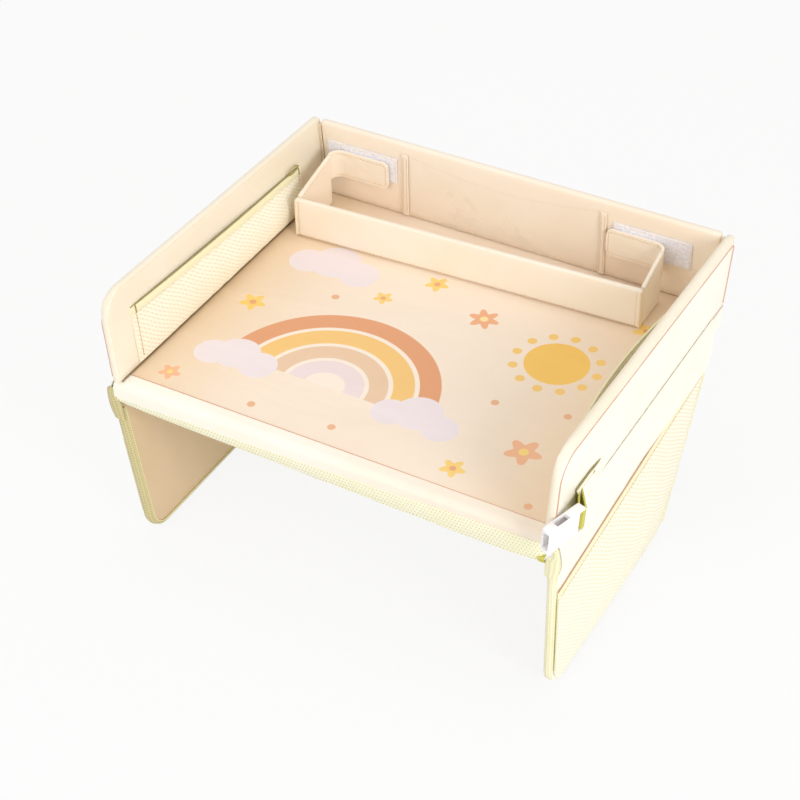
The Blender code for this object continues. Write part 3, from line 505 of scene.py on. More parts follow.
# ---- Printed top cloth ----
# Polyurethane-coated polyester, smooth and faintly glossy, printed in flat colours with a
# rainbow, clouds, a sun and small flowers. It lies a little slack on the board.
def slack_top(u, v):
    """The printed cloth, sewn down all round and slightly wavy between."""
    across = (u - 0.5) * 2 * half_width
    along = front_setback + 0.0008 + (base_depth - front_setback - 0.0008) * v
    edge = min(1.0, 12 * u, 12 * (1 - u), 10 * v, 10 * (1 - v))
    wave = noise.noise(Vector((across * 11, along * 7, 0.0)))
    wave += 0.5 * noise.noise(Vector((across * 24, along * 19, 5)))
    return tray + Vector((across, along, min(0.00055 * wave * edge - 0.0006, -0.0002)))


top_cloth, tree, shader = start_material("polyurethane_coated_printed_polyester", 0.42)
shader.inputs["Coat Weight"].default_value = 0.12
shader.inputs["Coat Roughness"].default_value = 0.3
space = add_node(tree, "ShaderNodeTexCoord")
spot = add_node(tree, "ShaderNodeMapping", {"vector_type": "POINT"},
                {"Vector": space.outputs["Object"], "Location": (-tray.x, -tray.y, 0.0), "Scale": (1, 1, 0)})
spot_apart = add_node(tree, "ShaderNodeSeparateXYZ", inputs={0: spot.outputs[0]})
tone = add_node(tree, "ShaderNodeTexNoise",
                inputs={"Vector": space.outputs["Object"], "Scale": 9.0, "Detail": 3.0})
printed = add_node(tree, "ShaderNodeMix", {"data_type": "RGBA"},
                   {0: tone.outputs[0], 6: linear("#FBECDB"), 7: linear("#F8E2CA")}).outputs[2]
# Painted shade: the print darkens towards both walls, where they shade it
off_middle = add_node(tree, "ShaderNodeMath", {"operation": "ABSOLUTE"}, {0: spot_apart.outputs[0]})
painted_wall_shade = add_node(tree, "ShaderNodeMapRange", {"interpolation_type": "SMOOTHSTEP"},
                  {0: off_middle.outputs[0], 1: 0.07, 2: 0.20, 3: 0.0, 4: 0.75})
printed = add_node(tree, "ShaderNodeMix", {"data_type": "RGBA"},
                   {0: painted_wall_shade.outputs[0], 6: printed, 7: linear("#EBCFAB")}).outputs[2]


def print_ink(under, colour, inside):
    """Lay one more ink over the print where inside is 1."""
    return add_node(tree, "ShaderNodeMix", {"data_type": "RGBA"},
                    {0: inside, 6: under, 7: linear(colour)}).outputs[2]


def distance_to(across, along):
    """How far a point of the print lies from a centre, in metres."""
    return add_node(tree, "ShaderNodeVectorMath", {"operation": "DISTANCE"},
                    {0: spot.outputs[0], 1: (across, along, 0.0)}).outputs["Value"]


def printed_disc(under, colour, across, along, radius):
    """A round dot of ink."""
    inside = add_node(tree, "ShaderNodeMath", {"operation": "LESS_THAN"},
                      {0: distance_to(across, along), 1: radius})
    return print_ink(under, colour, inside.outputs[0])


def printed_flower(under, petals, heart, across, along, radius, count):
    """A small round-petalled flower with a dot in its middle."""
    moved = add_node(tree, "ShaderNodeVectorMath", {"operation": "SUBTRACT"},
                     {0: spot.outputs[0], 1: (across, along, 0.0)})
    apart = add_node(tree, "ShaderNodeSeparateXYZ", inputs={0: moved.outputs[0]})
    angle = add_node(tree, "ShaderNodeMath", {"operation": "ARCTAN2"},
                     {0: apart.outputs[1], 1: apart.outputs[0]})
    turned = add_node(tree, "ShaderNodeMath", {"operation": "MULTIPLY"},
                      {0: angle.outputs[0], 1: float(count)})
    lobes = add_node(tree, "ShaderNodeMath", {"operation": "COSINE"}, {0: turned.outputs[0]})
    reach = add_node(tree, "ShaderNodeMath", {"operation": "MULTIPLY_ADD"},
                     {0: lobes.outputs[0], 1: 0.22 * radius, 2: 0.78 * radius})
    inside = add_node(tree, "ShaderNodeMath", {"operation": "LESS_THAN"},
                      {0: distance_to(across, along), 1: reach.outputs[0]})
    under = print_ink(under, petals, inside.outputs[0])
    return printed_disc(under, heart, across, along, 0.26 * radius)


rainbow_across, rainbow_along = -0.045, 0.078
above = add_node(tree, "ShaderNodeMath", {"operation": "GREATER_THAN"},
                 {0: spot_apart.outputs[1], 1: rainbow_along})
reach = distance_to(rainbow_across, rainbow_along)
for outer, colour in ((0.098, "#E5A173"), (0.080, "#FBECDB"), (0.076, "#F6C879"), (0.058, "#FBECDB"),
                      (0.054, "#EBC9A8"), (0.038, "#FBECDB"), (0.034, "#F0DDDC"), (0.018, "#FBECDB")):
    ring = add_node(tree, "ShaderNodeMath", {"operation": "LESS_THAN"}, {0: reach, 1: outer})
    arch = add_node(tree, "ShaderNodeMath", {"operation": "MULTIPLY"},
                    {0: ring.outputs[0], 1: above.outputs[0]})
    printed = print_ink(printed, colour, arch.outputs[0])
for across, along, radius in ((-0.152, 0.074, 0.016), (-0.132, 0.082, 0.020), (-0.108, 0.076, 0.017),
                              (0.020, 0.075, 0.016), (0.042, 0.084, 0.021), (0.066, 0.075, 0.016),
                              (-0.150, 0.226, 0.017), (-0.126, 0.235, 0.023), (-0.098, 0.228, 0.018)):
    printed = printed_disc(printed, "#F1E4E6", across, along, radius)
sun_across, sun_along, sun_radius = 0.112, 0.196, 0.028
ray_count, ray_distance, ray_radius = 12, 0.037, 0.0042
for ray in range(ray_count):
    turn = 2 * math.pi * ray / ray_count
    printed = printed_disc(printed, "#F9CD72", sun_across + ray_distance * math.cos(turn),
                           sun_along + ray_distance * math.sin(turn), ray_radius)
printed = printed_disc(printed, "#FAC95F", sun_across, sun_along, sun_radius)
for across, along, radius, petals, heart, count in (
        (0.138, 0.082, 0.016, "#F2B98F", "#FBD77E", 5), (-0.160, 0.150, 0.012, "#FBD06E", "#E9A676", 5),
        (0.030, 0.222, 0.014, "#F1B084", "#FCE2A0", 6), (0.160, 0.272, 0.012, "#FAD377", "#EBAA7C", 5),
        (-0.030, 0.248, 0.011, "#FAD377", "#EBAA7C", 5), (0.098, 0.038, 0.011, "#FAD377", "#EBAA7C", 5),
        (-0.168, 0.034, 0.010, "#F2B98F", "#FBD77E", 5), (-0.062, 0.208, 0.009, "#FAD377", "#EBAA7C", 5)):
    printed = printed_flower(printed, petals, heart, across, along, radius, count)
dot_radius = 0.0035
for across, along in ((0.150, 0.138), (0.090, 0.126), (-0.012, 0.036), (-0.100, 0.190), (0.060, 0.276),
                      (0.170, 0.026), (-0.085, 0.030), (0.178, 0.224)):
    printed = printed_disc(printed, "#EDB58C", across, along, dot_radius)
tree.links.new(printed, shader.inputs["Base Color"])
grain = add_node(tree, "ShaderNodeTexNoise",
                 inputs={"Vector": space.outputs["Object"], "Scale": 900.0, "Detail": 2.0})
rise = add_node(tree, "ShaderNodeBump",
                inputs={"Strength": 0.08, "Distance": 0.0001, "Height": grain.outputs[0]})
slow = add_node(tree, "ShaderNodeMapping",
                inputs={"Vector": space.outputs["Object"], "Scale": (5.0, 16.0, 1.0)})
ripples = add_node(tree, "ShaderNodeTexNoise",
                   inputs={"Vector": slow.outputs[0], "Scale": 1.0, "Distortion": 0.8})
wavy = add_node(tree, "ShaderNodeBump",
                inputs={"Strength": 0.6, "Distance": 0.006, "Height": ripples.outputs[0],
                        "Normal": rise.outputs[0]})
tree.links.new(wavy.outputs[0], shader.inputs["Normal"])

top_sheet = shaped_grid("printed_top_cloth", 170, 140, 2 * half_width, base_depth - front_setback, slack_top)
give_thickness(top_sheet, 0.0008)
hand_over(top_sheet, top_cloth, "printed_cream_cloth", "tray", "tray_top_fabric")


# ---- Side wall covers ----
# Sleeves of coated oxford cloth over the boards, with a thin foam lining, so that the faces
# are slightly full and the edges soft. They are sewn to the base along their foot.
def spaced(length, low_edge, high_edge, cell):
    """Places along a side: close together at its soft edges and even in between."""
    low_rim, high_rim = ([edge * (1 - math.cos(math.pi / 2 * step / 4)) for step in range(5)]
                         for edge in (low_edge, high_edge))
    between = length - low_edge - high_edge
    count = max(2, round(between / cell))
    middle = [low_edge + between * step / count for step in range(1, count)]
    return low_rim + middle + [length - place for place in reversed(high_rim)]


def padded_panel(name, corners, radii, thickness, edge, puff, cell, seed, matrix, foot_edge=None):
    """A sewn panel with four corners in its own plane, given counter-clockwise from low left.

    It is closed, its rim is soft, at its foot only by foot_edge, and its faces are full by puff and a
    little wrinkled.
    """
    foot_edge = foot_edge or edge
    corners = [Vector(corner) for corner in corners]
    width = max((corners[1] - corners[0]).length, (corners[2] - corners[3]).length)
    height = max((corners[3] - corners[0]).length, (corners[2] - corners[1]).length)
    along_places, up_places = spaced(width, edge, edge, cell), spaced(height, foot_edge, edge, cell)
    columns, rows = len(along_places) - 1, len(up_places) - 1
    panel = shaped_grid(name, columns, rows, width, height, lambda u, v: Vector((u, v, 0)))
    bpy.ops.object.mode_set(mode="EDIT")
    bpy.ops.mesh.select_all(action="SELECT")
    bpy.ops.mesh.duplicate()
    bpy.ops.mesh.flip_normals()
    bpy.ops.object.mode_set(mode="OBJECT")
    half = len(panel.data.vertices) // 2
    for index, vert in enumerate(panel.data.vertices):
        along = along_places[round(vert.co.x * columns)]
        up = up_places[round(vert.co.y * rows)]
        to_side, to_end = min(along, width - along), min(up, height - up)
        soft = 1.0
        for distance, reach in ((to_side, edge), (up, foot_edge), (height - up, edge)):
            soft *= math.sqrt(max(0.0, 1 - (1 - min(1.0, distance / reach)) ** 2))
        full = min(1.0, min(to_side, to_end) / 0.018)
        crease = noise.noise(Vector((along * 22, up * 30, seed)))
        crease += 0.6 * noise.noise(Vector((along * 60, up * 24, seed + 5)))
        pucker = math.sin(along * 2 * math.pi / 0.011 + 2 * noise.noise(Vector((along * 20, seed, 0))))
        pucker *= math.exp(-to_end / 0.006)
        layer = 1 if index < half else -1
        swell = puff * full * (2 - full) + 0.0004 * crease * full + 0.00016 * pucker
        depth = layer * soft * (thickness / 2 + swell)
        past_middle, above_middle = along > width / 2, up > height / 2
        radius = radii[(2 if past_middle else 3) if above_middle else (1 if past_middle else 0)]
        if radius and to_side < radius and to_end < radius:
            a, b = 1 - to_side / radius, 1 - to_end / radius
            to_side = radius * (1 - a * math.sqrt(1 - b * b / 2))
            to_end = radius * (1 - b * math.sqrt(1 - a * a / 2))
            along = to_side if along < width / 2 else width - to_side
            up = to_end if up < height / 2 else height - to_end
        low = corners[0].lerp(corners[1], along / width)
        high = corners[3].lerp(corners[2], along / width)
        flat = low.lerp(high, up / height)
        vert.co = (flat.x, flat.y, depth)
    bpy.ops.object.mode_set(mode="EDIT")
    bpy.ops.mesh.select_all(action="SELECT")
    bpy.ops.mesh.remove_doubles(threshold=0.00001)
    bpy.ops.object.mode_set(mode="OBJECT")
    panel.data.transform(matrix)
    bpy.ops.object.select_all(action="DESELECT")
    panel.select_set(True)
    bpy.ops.object.shade_smooth()
    return panel


def stitch_row(name, points, radius, stitch, gap, material, slot, body):
    """A row of separate thread stitches along points."""
    lengths = [0.0]
    for start, end in zip(points, points[1:]):
        lengths.append(lengths[-1] + (end - start).length)

    def at(distance):
        for index in range(1, len(points)):
            if distance <= lengths[index] or index == len(points) - 1:
                share = (distance - lengths[index - 1]) / max(1e-9, lengths[index] - lengths[index - 1])
                return points[index - 1].lerp(points[index], min(1.0, share))

    count = max(1, int(lengths[-1] / (stitch + gap)))
    row = bpy.data.curves.new(name, "CURVE")
    row.dimensions = "3D"
    row.bevel_depth = radius
    row.bevel_resolution = 1
    row.use_fill_caps = True
    for number in range(count):
        run = row.splines.new("POLY")
        run.points.add(2)
        start = number * (stitch + gap) + gap / 2
        for knot, share in zip(run.points, (0.0, 0.5, 1.0)):
            knot.co = (*at(start + share * stitch), 1)
            knot.radius = 0.7 if share != 0.5 else 1.0
    seam = bpy.data.objects.new(name, row)
    bpy.context.scene.collection.objects.link(seam)
    bpy.ops.object.select_all(action="DESELECT")
    seam.select_set(True)
    bpy.context.view_layer.objects.active = seam
    bpy.ops.object.convert(target="MESH")
    bpy.ops.object.shade_smooth()
    hand_over(bpy.context.object, material, slot, body)
    return bpy.context.object


wall_front_height, wall_rear_height = 0.084, 0.076
wall_thickness = 0.008
wall_lean = math.radians(4)
sleeve_foot, sleeve_gap = 0.0003, 0.0006
seam_below_top, seam_inset, seam_foot = 0.0088, 0.0022, 0.004
# Thread radius, stitch and gap along cloth edges, and on the webbing and the pocket's tapes
edge_stitch = (0.00032, 0.0026, 0.0011)
tape_stitch = (0.0003, 0.0022, 0.0009)
wall_frames = {}
# A panel lies in its own XY plane; this stands it up along the tray, its Z towards the right
stand_along = Matrix(((0, 0, 1, 0), (1, 0, 0, 0), (0, 1, 0, 0), (0, 0, 0, 1)))
stand_across = Matrix(((1, 0, 0, 0), (0, 0, -1, 0), (0, 1, 0, 0), (0, 0, 0, 1)))
for side_name, side in (("left", -1), ("right", 1)):
    wall_frame = (Matrix.Translation(hinges[side_name + "_wall_fold"])
                  @ Matrix.Rotation(side * wall_lean, 4, "Y"))
    wall_frames[side_name] = wall_frame
    place = wall_frame @ Matrix.Translation((-side * wall_thickness / 2, 0, 0)) @ stand_along
    cover = padded_panel(side_name + "_wall_sleeve",
                         [(0, sleeve_foot), (base_depth, sleeve_foot), (base_depth, wall_rear_height),
                          (0, wall_front_height)],
                         radii=[0.0, 0.0, 0.006, 0.026], thickness=wall_thickness - sleeve_gap, edge=0.0030,
                         puff=0.0003, cell=0.006, seed=11.0 + side, matrix=place, foot_edge=0.0006)
    hand_over(cover, wall_cloth, "coated_cream_cloth", side_name + "_wall", side_name + "_wall_cover")
    # Below the seam the outer face takes the paler cloth, painted light; the inner face and the rounded rim
    # keep the darker wall cloth, which paints the shade on the rim
    cover.data.materials.append(lit_pale_cloth)
    to_wall = wall_frame.inverted()
    for face in cover.data.polygons:
        middle = to_wall @ face.center
        top_height = wall_front_height + (wall_rear_height - wall_front_height) * middle.y / base_depth
        on_outer_face = side * middle.x > -0.0012
        face.material_index = int(on_outer_face and middle.z < top_height - seam_below_top)
    rim, outer_rim = (rounded([(seam_inset, seam_foot, 0),
                               (seam_inset, wall_front_height - below, curve),
                               (base_depth - seam_inset, wall_rear_height - below, 0.005),
                               (base_depth - seam_inset, seam_foot, 0)], 12)
                      for below, curve in ((seam_inset, 0.0238), (seam_below_top, 0.020)))
    outer = [wall_frame @ Vector((-side * 0.0001, point.x, point.y)) for point in outer_rim]
    sewn_line(side_name + "_wall_rim_piping", outer, 0.0006, seam_thread, "coated_cream_cloth",
              side_name + "_wall")
    inner = [wall_frame @ Vector((-side * (wall_thickness - 0.0004), point.x, point.y)) for point in rim]
    stitch_row(side_name + "_wall_rim_stitches", inner, *edge_stitch, cream_thread,
               "coated_cream_cloth", side_name + "_wall")


foot_thread = thread("brown_sewing_thread", "#A98F63", "#8A7148")
for side_name, side in (("left", -1), ("right", 1)):
    path = [tray + Vector((side * (half_width - wall_thickness - 0.0004), 0.003 + 0.0079 * step, 0.0005))
            for step in range(42)]
    sewn_line(side_name + "_wall_foot_seam", path, 0.0005, foot_thread, "coated_cream_cloth", "tray")


# ---- Mesh pockets inside the side walls ----
# Warp-knitted elastic mesh, its foot and ends sewn to the wall, its top gathered by a flat
# woven elastic. It stands off the wall in a shallow bulge.
# Knit courses are 1.6 mm apart, drawn 3.3 mm apart so that they show in the render
pocket_mesh = knit_mesh("warp_knitted_elastic_mesh", "#FCF9E0", "#F3DFC2", 0.0056, 0.0033, 0.8,
                        -0.1, math.radians(35), 0.16)


# The elastic's ribs are 0.7 mm apart, drawn 1.3 mm apart for the same reason
rib_pitch = 0.0013


def woven_elastic(name, face, shade):
    """Flat woven polyester elastic: fine ribs across, a little darker between them."""
    material, tree, shader = start_material(name, 0.7)
    space = add_node(tree, "ShaderNodeTexCoord")
    apart = add_node(tree, "ShaderNodeSeparateXYZ", inputs={0: space.outputs["UV"]})
    across = add_node(tree, "ShaderNodeMath", {"operation": "MULTIPLY"},
                      {0: apart.outputs[0], 1: 2 * math.pi / rib_pitch})
    ribs = add_node(tree, "ShaderNodeMath", {"operation": "SINE"}, {0: across.outputs[0]})
    tone = add_node(tree, "ShaderNodeMapRange", inputs={0: ribs.outputs[0], 1: -1.0, 2: 1.0, 3: 0.0, 4: 0.7})
    two_tone(tree, shader, tone.outputs[0], face, shade, 0.4, 0.0002, ribs.outputs[0])
    return material


pocket_elastic = woven_elastic("woven_polyester_elastic", "#FCF8D6", "#F5EDBC")
olive_thread = thread("olive_sewing_thread", "#B7A85E", "#94863F")


pleat_count, pleat_depth = 8, 0.0015


def gather(u, v):
    """Depth of the small pleats that the elastic draws in, fading towards the foot and the hem."""
    pleat = math.sin(math.pi * 2 * pleat_count * u + 0.9 * noise.noise(Vector((u * 6, 0, 2.0))))
    return pleat_depth * pleat * v * max(0.0, 1 - v) * math.sin(math.pi * u)


def hem_bulge(v):
    """How far a hem's middle stands out from its edges."""
    return 0.0006 * math.sin(math.pi * v)


inner_depth = 0.330
inner_start, inner_rear_gap = 0.030, 0.038
inner_length = inner_depth - inner_rear_gap - inner_start
inner_foot, inner_front_height, inner_drop = 0.003, 0.047, 0.010
mesh_thickness, elastic_thickness = 0.0010, 0.0016
hem_start, hem_height = 0.0008, 0.0066
pocket_end_stitch = (0.0004, 0.0022, 0.0006)
pocket_end = thread("tan_pocket_thread", "#DDB98E", "#C49A6C")
for side_name, side, stand_off in (("left", -1, 0.0022), ("right", 1, 0.0132)):
    wall_frame = wall_frames[side_name]

    def pocket_face(u, v, lift=0.0, extra=0.0):
        along = max(0.0, math.sin(math.pi * u)) ** 0.8
        belly = 0.0085 * (0.6 + 0.7 * u) * max(0.0, math.sin(math.pi * min(1.0, v))) ** 0.8
        sag = 0.0008 * noise.noise(Vector((u * 30, v * 6, 31.0 + side))) * along * max(0.0, 1 - v)
        depth = 0.0091 + along * (belly + stand_off * v) + gather(u, v) + extra + sag
        height = inner_foot + (inner_front_height - inner_drop * u) * v + lift
        return wall_frame @ Vector((-side * depth, inner_start + inner_length * u, height))

    pocket = shaped_grid(side_name + "_inner_mesh", 160, 28, inner_length, 0.042, pocket_face)
    give_thickness(pocket, mesh_thickness)
    hand_over(pocket, pocket_mesh, "yellow_air_mesh", side_name + "_wall", side_name + "_inner_pocket")
    hem = shaped_grid(side_name + "_inner_elastic", 160, 6, inner_length, 0.007,
                      lambda u, v: pocket_face(u, 1.0, hem_start + hem_height * v, hem_bulge(v)))
    give_thickness(hem, elastic_thickness)
    hand_over(hem, pocket_elastic, "yellow_elastic", side_name + "_wall", side_name + "_inner_pocket_hem")
    turn_in = wall_frame.to_3x3()
    ends = []
    for end_name, share, way in (("front", 0.0, 1), ("rear", 1.0, -1)):
        tape = shaped_grid("%s_inner_%s_tape" % (side_name, end_name), 6, 24, 0.007, 0.05,
                           lambda u, v: pocket_face(share, v, 0.0075 * v,
                                                    0.0004 * math.sin(math.pi * u) - 0.0005)
                           + turn_in @ Vector((0, way * (0.006 * u - 0.0015), 0)))
        give_thickness(tape, 0.0009)
        hand_over(tape, wall_cloth, "coated_cream_cloth", side_name + "_wall")
        ends.append(tape)
        seam = [point + turn_in @ Vector((-side * 0.0012, way * 0.0042, 0))
                for point in (pocket_face(share, step / 12) for step in range(1, 13))]
        stitch_row("%s_inner_%s_stitches" % (side_name, end_name), seam, *pocket_end_stitch, pocket_end,
                   "yellow_elastic", side_name + "_wall")
        bar = [pocket_face(share, 1.0, 0.001 + 0.0068 * step / 4)
               + turn_in @ Vector((-side * 0.0016, way * 0.0040, 0)) for step in range(5)]
        sewn_line("%s_inner_%s_bar_tack" % (side_name, end_name), bar, 0.0006, foot_thread, "yellow_elastic",
                  side_name + "_wall")
    # The hem cord is olive thread on the left, where its colour also paints the shadow line between the hem's
    # top and the wall; on the right it is the pale elastic
    hem_top = [pocket_face(step / 80, 1.0, 0.0077, -0.0006) for step in range(81)]
    sewn_line(side_name + "_inner_hem_cord", hem_top, 0.00045, olive_thread if side < 0 else pocket_elastic,
              "yellow_elastic", side_name + "_wall")
    loop = [pocket_face(1.0, 1.0, 0.0105 + 0.0028 * math.sin(math.radians(turn)), 0.0016)
            + turn_in @ Vector((0, -0.013 - 0.009 * math.cos(math.radians(turn)), 0))
            for turn in range(-180, 181, 20)]
    sewn_line(side_name + "_inner_cord_loop", loop, 0.0005, olive_thread, "yellow_elastic",
              side_name + "_wall")


# ---- Corner tapes ----
# Hook-and-loop tape, 6 mm wide: the loop side on each side wall's rear end and the hook side
# on the back wall's ends. They are stiff flat strips and keep the CAD shape.
def loop_tape(name, face, shade):
    """Brushed nylon loop tape: a tangled nap on a woven ground."""
    material, tree, shader = start_material(name, 0.9)
    shader.inputs["Sheen Weight"].default_value = 0.35
    space = add_node(tree, "ShaderNodeTexCoord")
    nap = add_node(tree, "ShaderNodeTexNoise",
                   inputs={"Vector": space.outputs["Object"], "Scale": 850.0, "Detail": 3.0})
    tufts = add_node(tree, "ShaderNodeTexVoronoi",
                     inputs={"Vector": space.outputs["Object"], "Scale": 420.0})
    blend = add_node(tree, "ShaderNodeMath", {"operation": "MULTIPLY"},
                     {0: nap.outputs[0], 1: tufts.outputs["Distance"]})
    tone = add_node(tree, "ShaderNodeMapRange",
                    inputs={0: blend.outputs[0], 1: 0.05, 2: 0.45, 3: 0.0, 4: 1.0})
    two_tone(tree, shader, tone.outputs[0], face, shade, 0.5, 0.0003, blend.outputs[0])
    return material


cream_loops = loop_tape("brushed_nylon_corner_tape", "#F8EAD3", "#EBD8B8")
white_loops = loop_tape("brushed_nylon_loop_tape", "#FBFAFF", "#E9E6F0")
for side_name in ("left", "right"):
    for name in (side_name + "_corner_loop_strip", side_name + "_corner_hook_strip"):
        strip = frame["nodes"][name].data
        strip.materials.clear()
        strip.materials.append(cream_loops)


# ---- Strap webbing and buckle sockets ----
# Olive polypropylene webbing, 20 mm wide, folded round the bar of a white moulded acetal
# socket of a side-release buckle and sewn to the foot of each side wall.
webbing_width, webbing_sheet, webbing_end_thickness = 0.020, 0.0012, 0.0011
cord_width, cord_length = 0.0016, 0.0022
olive_web, tree, shader = start_material("woven_polypropylene_webbing", 0.6)
space = add_node(tree, "ShaderNodeTexCoord")
scaled = add_node(tree, "ShaderNodeVectorMath", {"operation": "MULTIPLY"},
                  {0: space.outputs["UV"], 1: (math.pi / cord_width, math.pi / cord_length, 0)})
apart = add_node(tree, "ShaderNodeSeparateXYZ", inputs={0: scaled.outputs[0]})
shifted = add_node(tree, "ShaderNodeMath", {"operation": "ADD"},
                   {0: apart.outputs[0], 1: apart.outputs[1]})
first = add_node(tree, "ShaderNodeMath", {"operation": "SINE"}, {0: shifted.outputs[0]})
second = add_node(tree, "ShaderNodeMath", {"operation": "SINE"}, {0: apart.outputs[1]})
cords = add_node(tree, "ShaderNodeMath", {"operation": "MULTIPLY"},
                 {0: first.outputs[0], 1: second.outputs[0]})
tone = add_node(tree, "ShaderNodeMapRange", inputs={0: cords.outputs[0], 1: -1.0, 2: 1.0, 3: 0.0, 4: 1.0})
two_tone(tree, shader, tone.outputs[0], "#D9D266", "#B8AE48", 0.5, 0.0003, cords.outputs[0])

acetal, tree, shader = start_material("moulded_acetal", 0.32)
space = add_node(tree, "ShaderNodeTexCoord")
flow = add_node(tree, "ShaderNodeTexNoise",
                inputs={"Vector": space.outputs["Object"], "Scale": 60.0, "Detail": 2.0})
spark = add_node(tree, "ShaderNodeTexNoise", inputs={"Vector": space.outputs["Object"], "Scale": 1400.0})
two_tone(tree, shader, flow.outputs[0], "#FFFFFF", "#F6F1F1", 0.12, 0.0001, spark.outputs[0])


def shaped_block(name, low, high, taper=0.0):
    """A cube primitive shaped to a block, narrower in height at its rear end by taper."""
    bpy.ops.mesh.primitive_cube_add(size=1)
    block = bpy.context.object
    block.name = name
    middle = (low[2] + high[2]) / 2
    for vert in block.data.vertices:
        place = [start + (share + 0.5) * (end - start) for start, end, share in zip(low, high, vert.co)]
        if vert.co.y > 0:
            place[2] = middle + (place[2] - middle) * (1 - taper)
        vert.co = place
    return block


def soften(piece, width, segments):
    """Round the sharp edges of a moulded piece."""
    rounding = piece.modifiers.new("rounding", "BEVEL")
    rounding.width = width
    rounding.segments = segments
    rounding.limit_method = "ANGLE"
    rounding.angle_limit = math.radians(35)
    bpy.context.view_layer.objects.active = piece
    bpy.ops.object.modifier_apply(modifier="rounding")


# Cut out of the socket: its mouth, the slot before its bar, a step down to the bar on each face
# and its side windows
socket_hollows = (
    ((0.0016, -0.020, 0.0044), (0.0079, 0.0157, 0.0206)),
    ((-0.002, 0.0173, 0.0022), (0.0120, 0.0225, 0.0228)),
    ((-0.002, 0.0173, 0.0022), (0.0030, 0.030, 0.0228)),
    ((0.0065, 0.0173, 0.0022), (0.0120, 0.030, 0.0228)),
    ((0.0016, -0.0068, -0.004), (0.0079, 0.0082, 0.030)))
for side_name, side, yaw, setback in (("left", -1, 0.0, 0.046), ("right", 1, math.radians(-15), 0.0)):
    wall_frame = wall_frames[side_name]
    socket = shaped_block(side_name + "_moulded_socket", (0, -0.016, 0), (0.0095, 0.026, 0.025), 0.1)
    soften(socket, 0.0022, 4)
    for low, high in socket_hollows:
        cutter = shaped_block("socket_cutter", low, high)
        soften(cutter, 0.0006, 2)
        hollow = socket.modifiers.new("hollow", "BOOLEAN")
        hollow.operation = "DIFFERENCE"
        hollow.object = cutter
        bpy.context.view_layer.objects.active = socket
        bpy.ops.object.modifier_apply(modifier="hollow")
        bpy.data.objects.remove(cutter)
    soften(socket, 0.0004, 2)
    bpy.ops.object.select_all(action="DESELECT")
    socket.select_set(True)
    bpy.ops.object.shade_smooth_by_angle(angle=math.radians(35))
    if side < 0:
        socket.data.transform(Matrix.Scale(-1, 4, (1, 0, 0)))
        socket.data.flip_normals()
    socket.data.transform(wall_frame @ Matrix.Translation((side * 0.0003, setback, 0.0011))
                          @ Matrix.Rotation(yaw, 4, "Z"))
    hand_over(socket, acetal, "white_moulded_plastic", side_name + "_wall", side_name + "_buckle_socket")

    facing_length = 0.062

    def facing_place(u, v):
        loose = 1.0 if u < 0.4 else math.cos(math.pi / 2 * (u - 0.4) / 0.6) ** 2
        lean_in = 0.75 * max(0.0, v - 0.8) / 0.2
        depth = -0.0006 + loose * (0.0013 + 0.0034 * min(1.0, v / 0.3) * (1 - lean_in))
        height = 0.0004 + (0.0250 - 0.012 * max(0.0, u - 0.4)) * v
        return wall_frame @ Vector((side * depth, setback + 0.034 + facing_length * u, height))

    facing = shaped_grid(side_name + "_strap_facing", 40, 16, facing_length, 0.023, facing_place)
    give_thickness(facing, 0.0009)
    hand_over(facing, lit_pale_cloth, "coated_cream_cloth", side_name + "_wall")
    slit = [facing_place(step / 40, 1.0) + wall_frame.to_3x3() @ Vector((-side * 0.0002, 0, 0.0009))
            for step in range(30)]
    sewn_line(side_name + "_strap_slit_edge", slit, 0.0006, olive_thread, "olive_webbing",
              side_name + "_wall")
    bar = Matrix.Rotation(yaw, 2) @ Vector((side * 0.00475, 0.02425)) + Vector((side * 0.0003, setback))
    wrap, leaf = 0.0034, 0.00095
    end, sewn = 0.064 + setback, 0.040 + setback
    line = [Vector((leaf, end)), Vector((leaf, sewn))]
    line += [Vector((side * bar.x + wrap * math.cos(math.radians(degrees)),
                     bar.y + wrap * math.sin(math.radians(degrees)))) for degrees in range(145, 396, 10)]
    line += [Vector((leaf + 0.0016, sewn + 0.0013)), Vector((leaf + 0.0016, end))]
    web_length = sum((after - before).length for before, after in zip(line, line[1:]))
    middle_up = 0.0008 + 0.0003 + 0.0125

    def webbing_place(u, v):
        point = along_line(line, u)[0]
        return wall_frame @ Vector((side * point.x, point.y, middle_up + (v - 0.5) * webbing_width))

    webbing = shaped_grid(side_name + "_webbing", 120, 10, web_length, webbing_width, webbing_place)
    give_thickness(webbing, webbing_sheet)
    hand_over(webbing, olive_web, "olive_webbing", side_name + "_wall", side_name + "_strap_webbing")
    for number, height in enumerate((-0.0075, -0.0025, 0.0025, 0.0075)):
        path = [wall_frame @ Vector((side * (leaf + 0.0024), sewn + 0.004 + step * 0.002, middle_up + height))
                for step in range(10)]
        stitch_row("%s_webbing_stitches_%d" % (side_name, number), path, *tape_stitch, olive_thread,
                   "olive_webbing", side_name + "_wall")


# ---- Back wall cover ----
# The same sleeve of coated cloth over its board, cut to lean with the side walls at its ends,
# sewn to the base along its foot and stitched along its top.
back_frame = Matrix.Translation(hinges["back_wall_fold"])


def side_face_across(depth, height):
    """X of a plane that lies this deep inside the leaning right wall, at a height."""
    along_wall = (height - depth * math.sin(wall_lean)) / math.cos(wall_lean)
    return half_width - depth * math.cos(wall_lean) + along_wall * math.sin(wall_lean)


